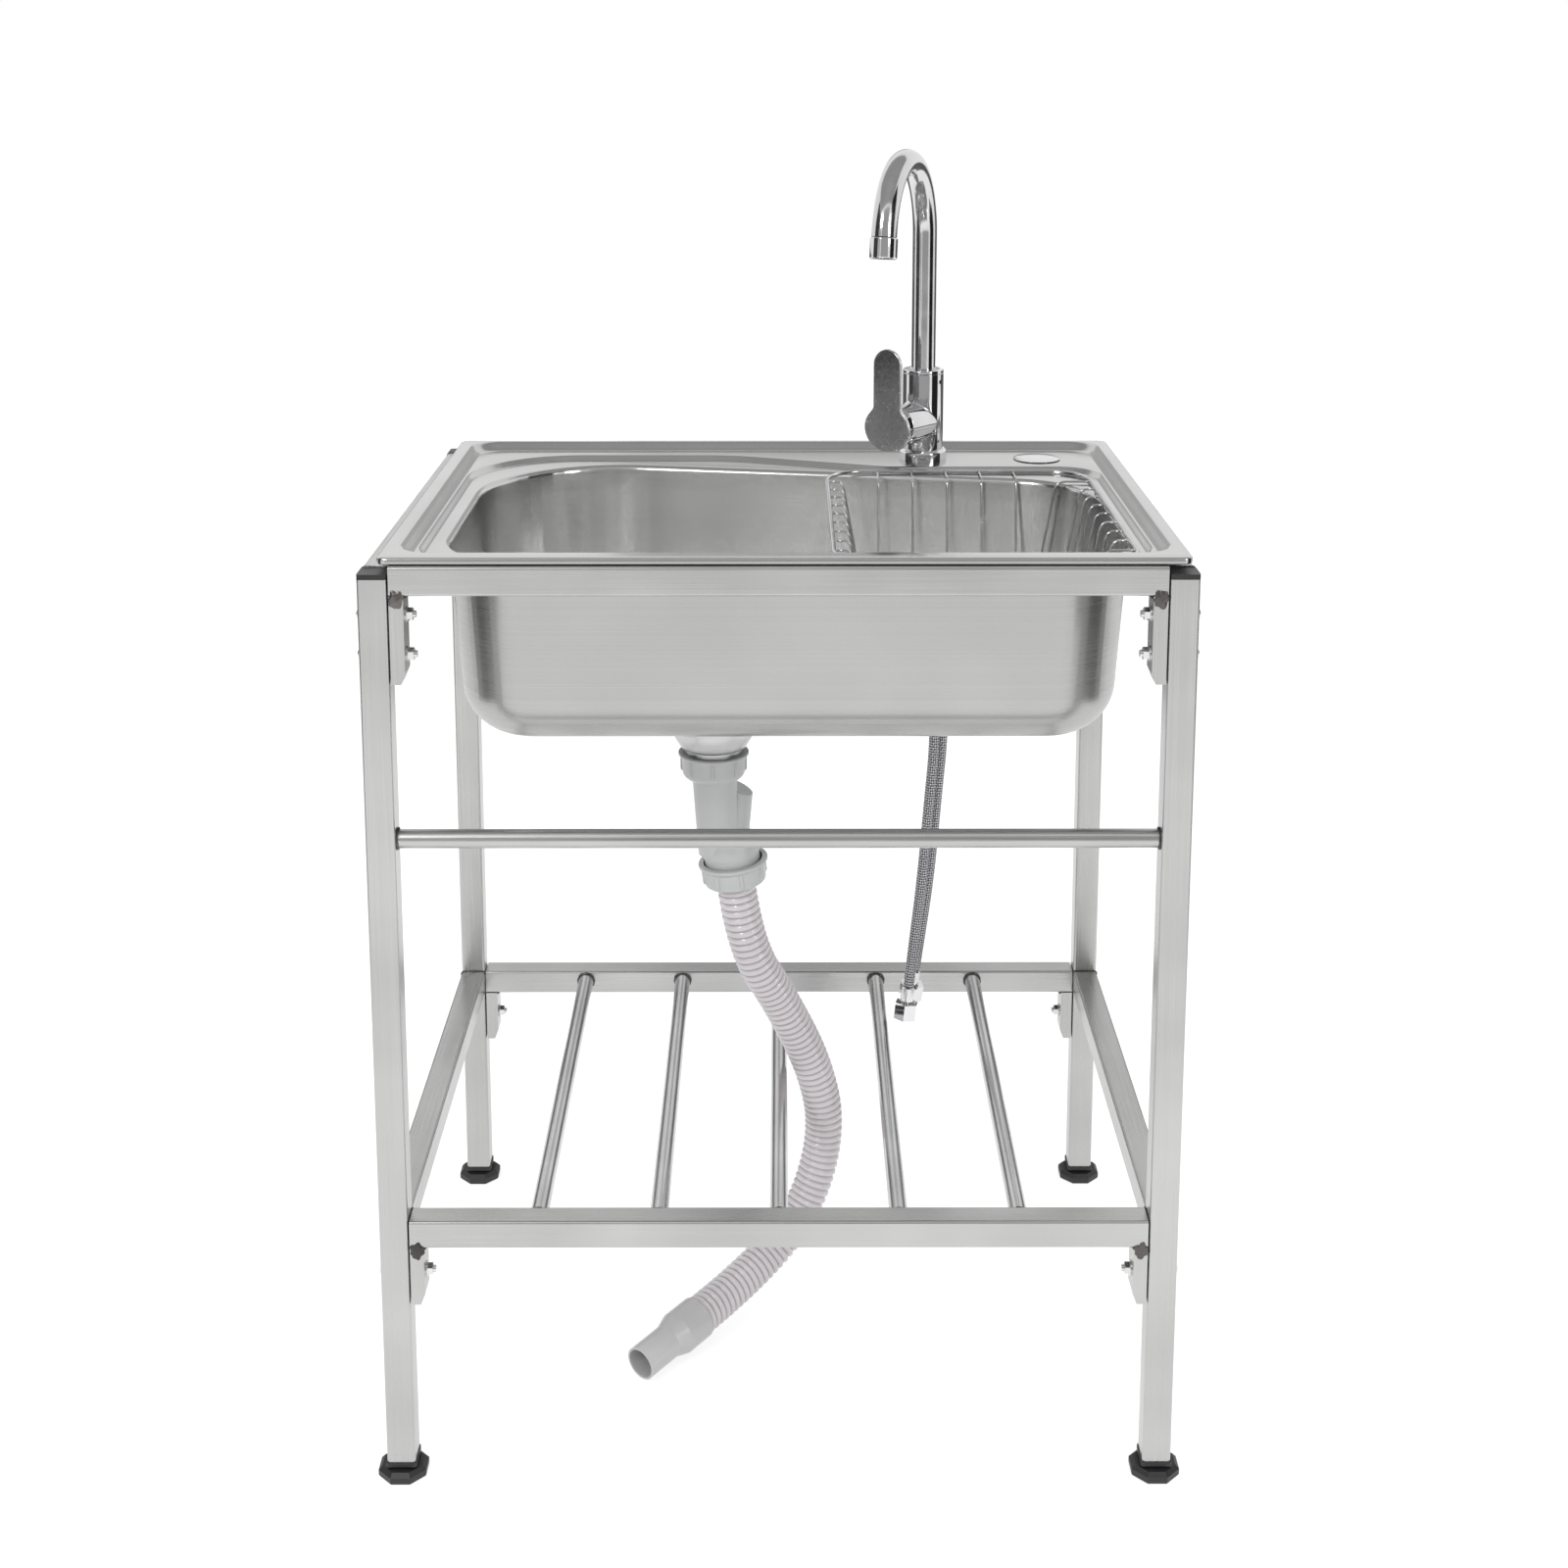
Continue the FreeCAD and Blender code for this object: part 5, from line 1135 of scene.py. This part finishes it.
def makeBasket(b=basket):
    outline = []
    for x, y, radius, turn in ((b["right"] - b["frontCorner"], b["front"] + b["frontCorner"], b["frontCorner"], -90),
                               (b["right"] - b["backCorner"], b["back"] - b["backCorner"], b["backCorner"], 0),
                               (b["left"] + b["backCorner"], b["back"] - b["backCorner"], b["backCorner"], 90),
                               (b["left"] + b["frontCorner"], b["front"] + b["frontCorner"], b["frontCorner"], 180)):
        outline += arcPoints((x, y), radius, turn, turn + 90, 14)
    line = [Vector((x, y, b["top"])) * mm for x, y in outline]
    line.append(line[0].copy())
    rim = tubeAlong("basketRim", line, [b["rimRadius"] * mm] * len(line), 20)
    dress(rim, wireSteel, "basket", "wire_steel", "basket_rim")
    reach = b["rimRadius"] - 0.4
    radius = b["wireRadius"] * mm
    cross = []
    spots = []
    for i in range(b["crossCount"]):
        y = b["crossMiddle"] + b["crossPitch"] * (i - (b["crossCount"] - 1) / 2)
        turn = min(b["right"] - b["ledgeSide"], bowlRightEdge(y) - b["wallMargin"])
        wire = uWire((b["left"] + reach, b["right"] - reach), (b["left"] + b["ledgeSide"], turn), b["floor"],
                     lambda s, z, y=y: (s, y, z))
        cross.append(tubeAlong("wire", wire, [radius] * len(wire), 12, capped=True))
        spots += [wire[0], wire[-1]]
    dress(joinPieces("sideToSideWires", cross), wireSteel, "basket", "wire_steel", "basket_cross_wires")
    along = []
    for i in range(b["longCount"]):
        x = b["longMiddle"] + b["longPitch"] * (i - (b["longCount"] - 1) / 2)
        wire = uWire((b["front"] + reach, b["back"] - reach), (b["front"] + b["ledgeSide"], b["back"] - b["ledgeBack"]),
                     b["floor"] + 2 * b["wireRadius"], lambda s, z, x=x: (x, s, z))
        along.append(tubeAlong("wire", wire, [radius] * len(wire), 12, capped=True))
        spots += [wire[0], wire[-1]]
    dress(joinPieces("frontToBackWires", along), wireSteel, "basket", "wire_steel", "basket_long_wires")
    beads = [weldBlob(tuple(spot / mm), (1.7, 1.7, 1.5), i * 1.3) for i, spot in enumerate(spots)]
    dress(joinPieces("basketWelds", beads), wireSteel, "basket", "wire_steel")


makeBasket()
print("basket ready")


# plain studio: pale floor, soft lamps, and cards that only the polished metal picks up
studio = {"floorTone": 0.86, "floorGlow": 0.74, "worldLight": 0.95, "worldTone": 1.0}
lamps = {"keyLamp": {"place": (-1.5, -2.2, 2.5), "size": (0.7, 0.7), "power": 30.0},
         "fillLamp": {"place": (1.9, -1.9, 1.8), "size": (0.5, 0.9), "power": 14.0},
         "bowlLamp": {"place": (0.1, -0.5, 2.6), "size": (1.2, 0.8), "power": 10.0}}
# a card is two opposite corners of a sheet, upright unless both are at one height
cards = {"leftCard": {"from": (-1.5, -1.1, 0.35), "to": (-1.5, 0.2, 2.3), "tone": 0.06},
         "rightCard": {"from": (1.3, -0.9, 0.3), "to": (1.7, 0.1, 2.3), "tone": 0.02},
         "frontCard": {"from": (-1.7, -3.4, 0.3), "to": (2.5, -3.4, 4.5), "tone": 0.42},
         "frontLeftCard": {"from": (-4.6, -3.4, 0.3), "to": (-2.2, -3.4, 4.5), "tone": 0.5},
         "leftLowCard": {"from": (-1.5, -0.8, 0.02), "to": (-1.5, 0.0, 0.35), "tone": 0.12},
         "rightLowCard": {"from": (1.5, -0.8, 0.02), "to": (1.5, 0.0, 0.35), "tone": 0.12},
         "backCard": {"from": (-5.0, 2.2, 0.02), "to": (5.0, 2.2, 0.9), "tone": 0.12},
         "backMiddleCard": {"from": (-0.32, 2.2, 1.0), "to": (0.32, 2.2, 1.7), "tone": 0.5},
         "ceilingCard": {"from": (-1.3, -0.9, 2.2), "to": (1.3, 1.2, 2.2), "tone": 0.38}}


def backdropMix(nodes, links, plain, tone, output):
    """camera, glossy and transmission rays see the plain white tone; the rest see the real surface"""
    rays = nodes.new("ShaderNodeLightPath")
    first = nodes.new("ShaderNodeMath")
    first.operation = "MAXIMUM"
    links.new(rays.outputs["Is Camera Ray"], first.inputs[0])
    links.new(rays.outputs["Is Glossy Ray"], first.inputs[1])
    second = nodes.new("ShaderNodeMath")
    second.operation = "MAXIMUM"
    links.new(first.outputs[0], second.inputs[0])
    links.new(rays.outputs["Is Transmission Ray"], second.inputs[1])
    mix = nodes.new("ShaderNodeMixShader")
    links.new(second.outputs[0], mix.inputs[0])
    links.new(plain, mix.inputs[1])
    links.new(tone, mix.inputs[2])
    links.new(mix.outputs[0], output)


def makeWorld(s=studio):
    world = bpy.data.worlds.new("studioWorld")
    world.use_nodes = True
    nodes = world.node_tree.nodes
    links = world.node_tree.links
    dim = nodes["Background"]
    dim.inputs["Color"].default_value = (1, 1, 1, 1)
    dim.inputs["Strength"].default_value = s["worldLight"]
    white = nodes.new("ShaderNodeBackground")
    white.inputs["Color"].default_value = (1, 1, 1, 1)
    white.inputs["Strength"].default_value = s["worldTone"]
    backdropMix(nodes, links, dim.outputs[0], white.outputs[0], nodes["World Output"].inputs["Surface"])
    bpy.context.scene.world = world


def makeFloor(s=studio):
    side = 6.0
    floor = makeMesh("studioFloor", [(-side, -side, 0), (side, -side, 0), (side, side, 0), (-side, side, 0)],
                     [(0, 1, 2, 3)], smooth=False)
    floor.location.z = -0.0005
    material, nodes, links, shader = shaderNodes("floorPaint")
    shader.inputs["Base Color"].default_value = (s["floorTone"],) * 3 + (1,)
    shader.inputs["Roughness"].default_value = 0.9
    # the tone seen by the camera: white, less a little where the shadow falls
    paint = nodes.new("ShaderNodeBsdfDiffuse")
    paint.inputs["Color"].default_value = (0.4, 0.4, 0.4, 1)
    glow = nodes.new("ShaderNodeEmission")
    glow.inputs["Strength"].default_value = s["floorGlow"]
    both = nodes.new("ShaderNodeAddShader")
    links.new(paint.outputs[0], both.inputs[0])
    links.new(glow.outputs[0], both.inputs[1])
    backdropMix(nodes, links, shader.outputs[0], both.outputs[0], nodes["Material Output"].inputs["Surface"])
    floor.data.materials.append(material)


def makeLamp(name, place, size, power):
    data = bpy.data.lights.new(name, "AREA")
    data.shape = "RECTANGLE"
    data.size, data.size_y = size
    data.energy = power
    lamp = bpy.data.objects.new(name, data)
    lamp.location = place
    lamp.rotation_euler = (Vector((0, 0, 0.6)) - Vector(place)).to_track_quat("-Z", "Y").to_euler()
    bpy.context.scene.collection.objects.link(lamp)


def makeCard(name, card):
    (x0, y0, z0), (x1, y1, z1) = card["from"], card["to"]
    corners = [(x0, y0, z0), (x1, y1, z0), (x1, y1, z1), (x0, y0, z1)]
    if z0 == z1:
        corners = [(x0, y0, z0), (x1, y0, z0), (x1, y1, z0), (x0, y1, z0)]
    sheet = makeMesh(name, corners, [(0, 1, 2, 3)], smooth=False)
    material, nodes, links, shader = shaderNodes(name + "Paint")
    nodes.remove(shader)
    glow = nodes.new("ShaderNodeEmission")
    glow.inputs["Strength"].default_value = card["tone"]
    links.new(glow.outputs[0], nodes["Material Output"].inputs["Surface"])
    sheet.data.materials.append(material)
    sheet.visible_camera = False
    sheet.visible_shadow = False
    sheet.visible_diffuse = False


makeWorld()
makeFloor()
for lampName, lamp in lamps.items():
    makeLamp(lampName, lamp["place"], lamp["size"], lamp["power"])
for cardName, card in cards.items():
    makeCard(cardName, card)
print("studio ready")
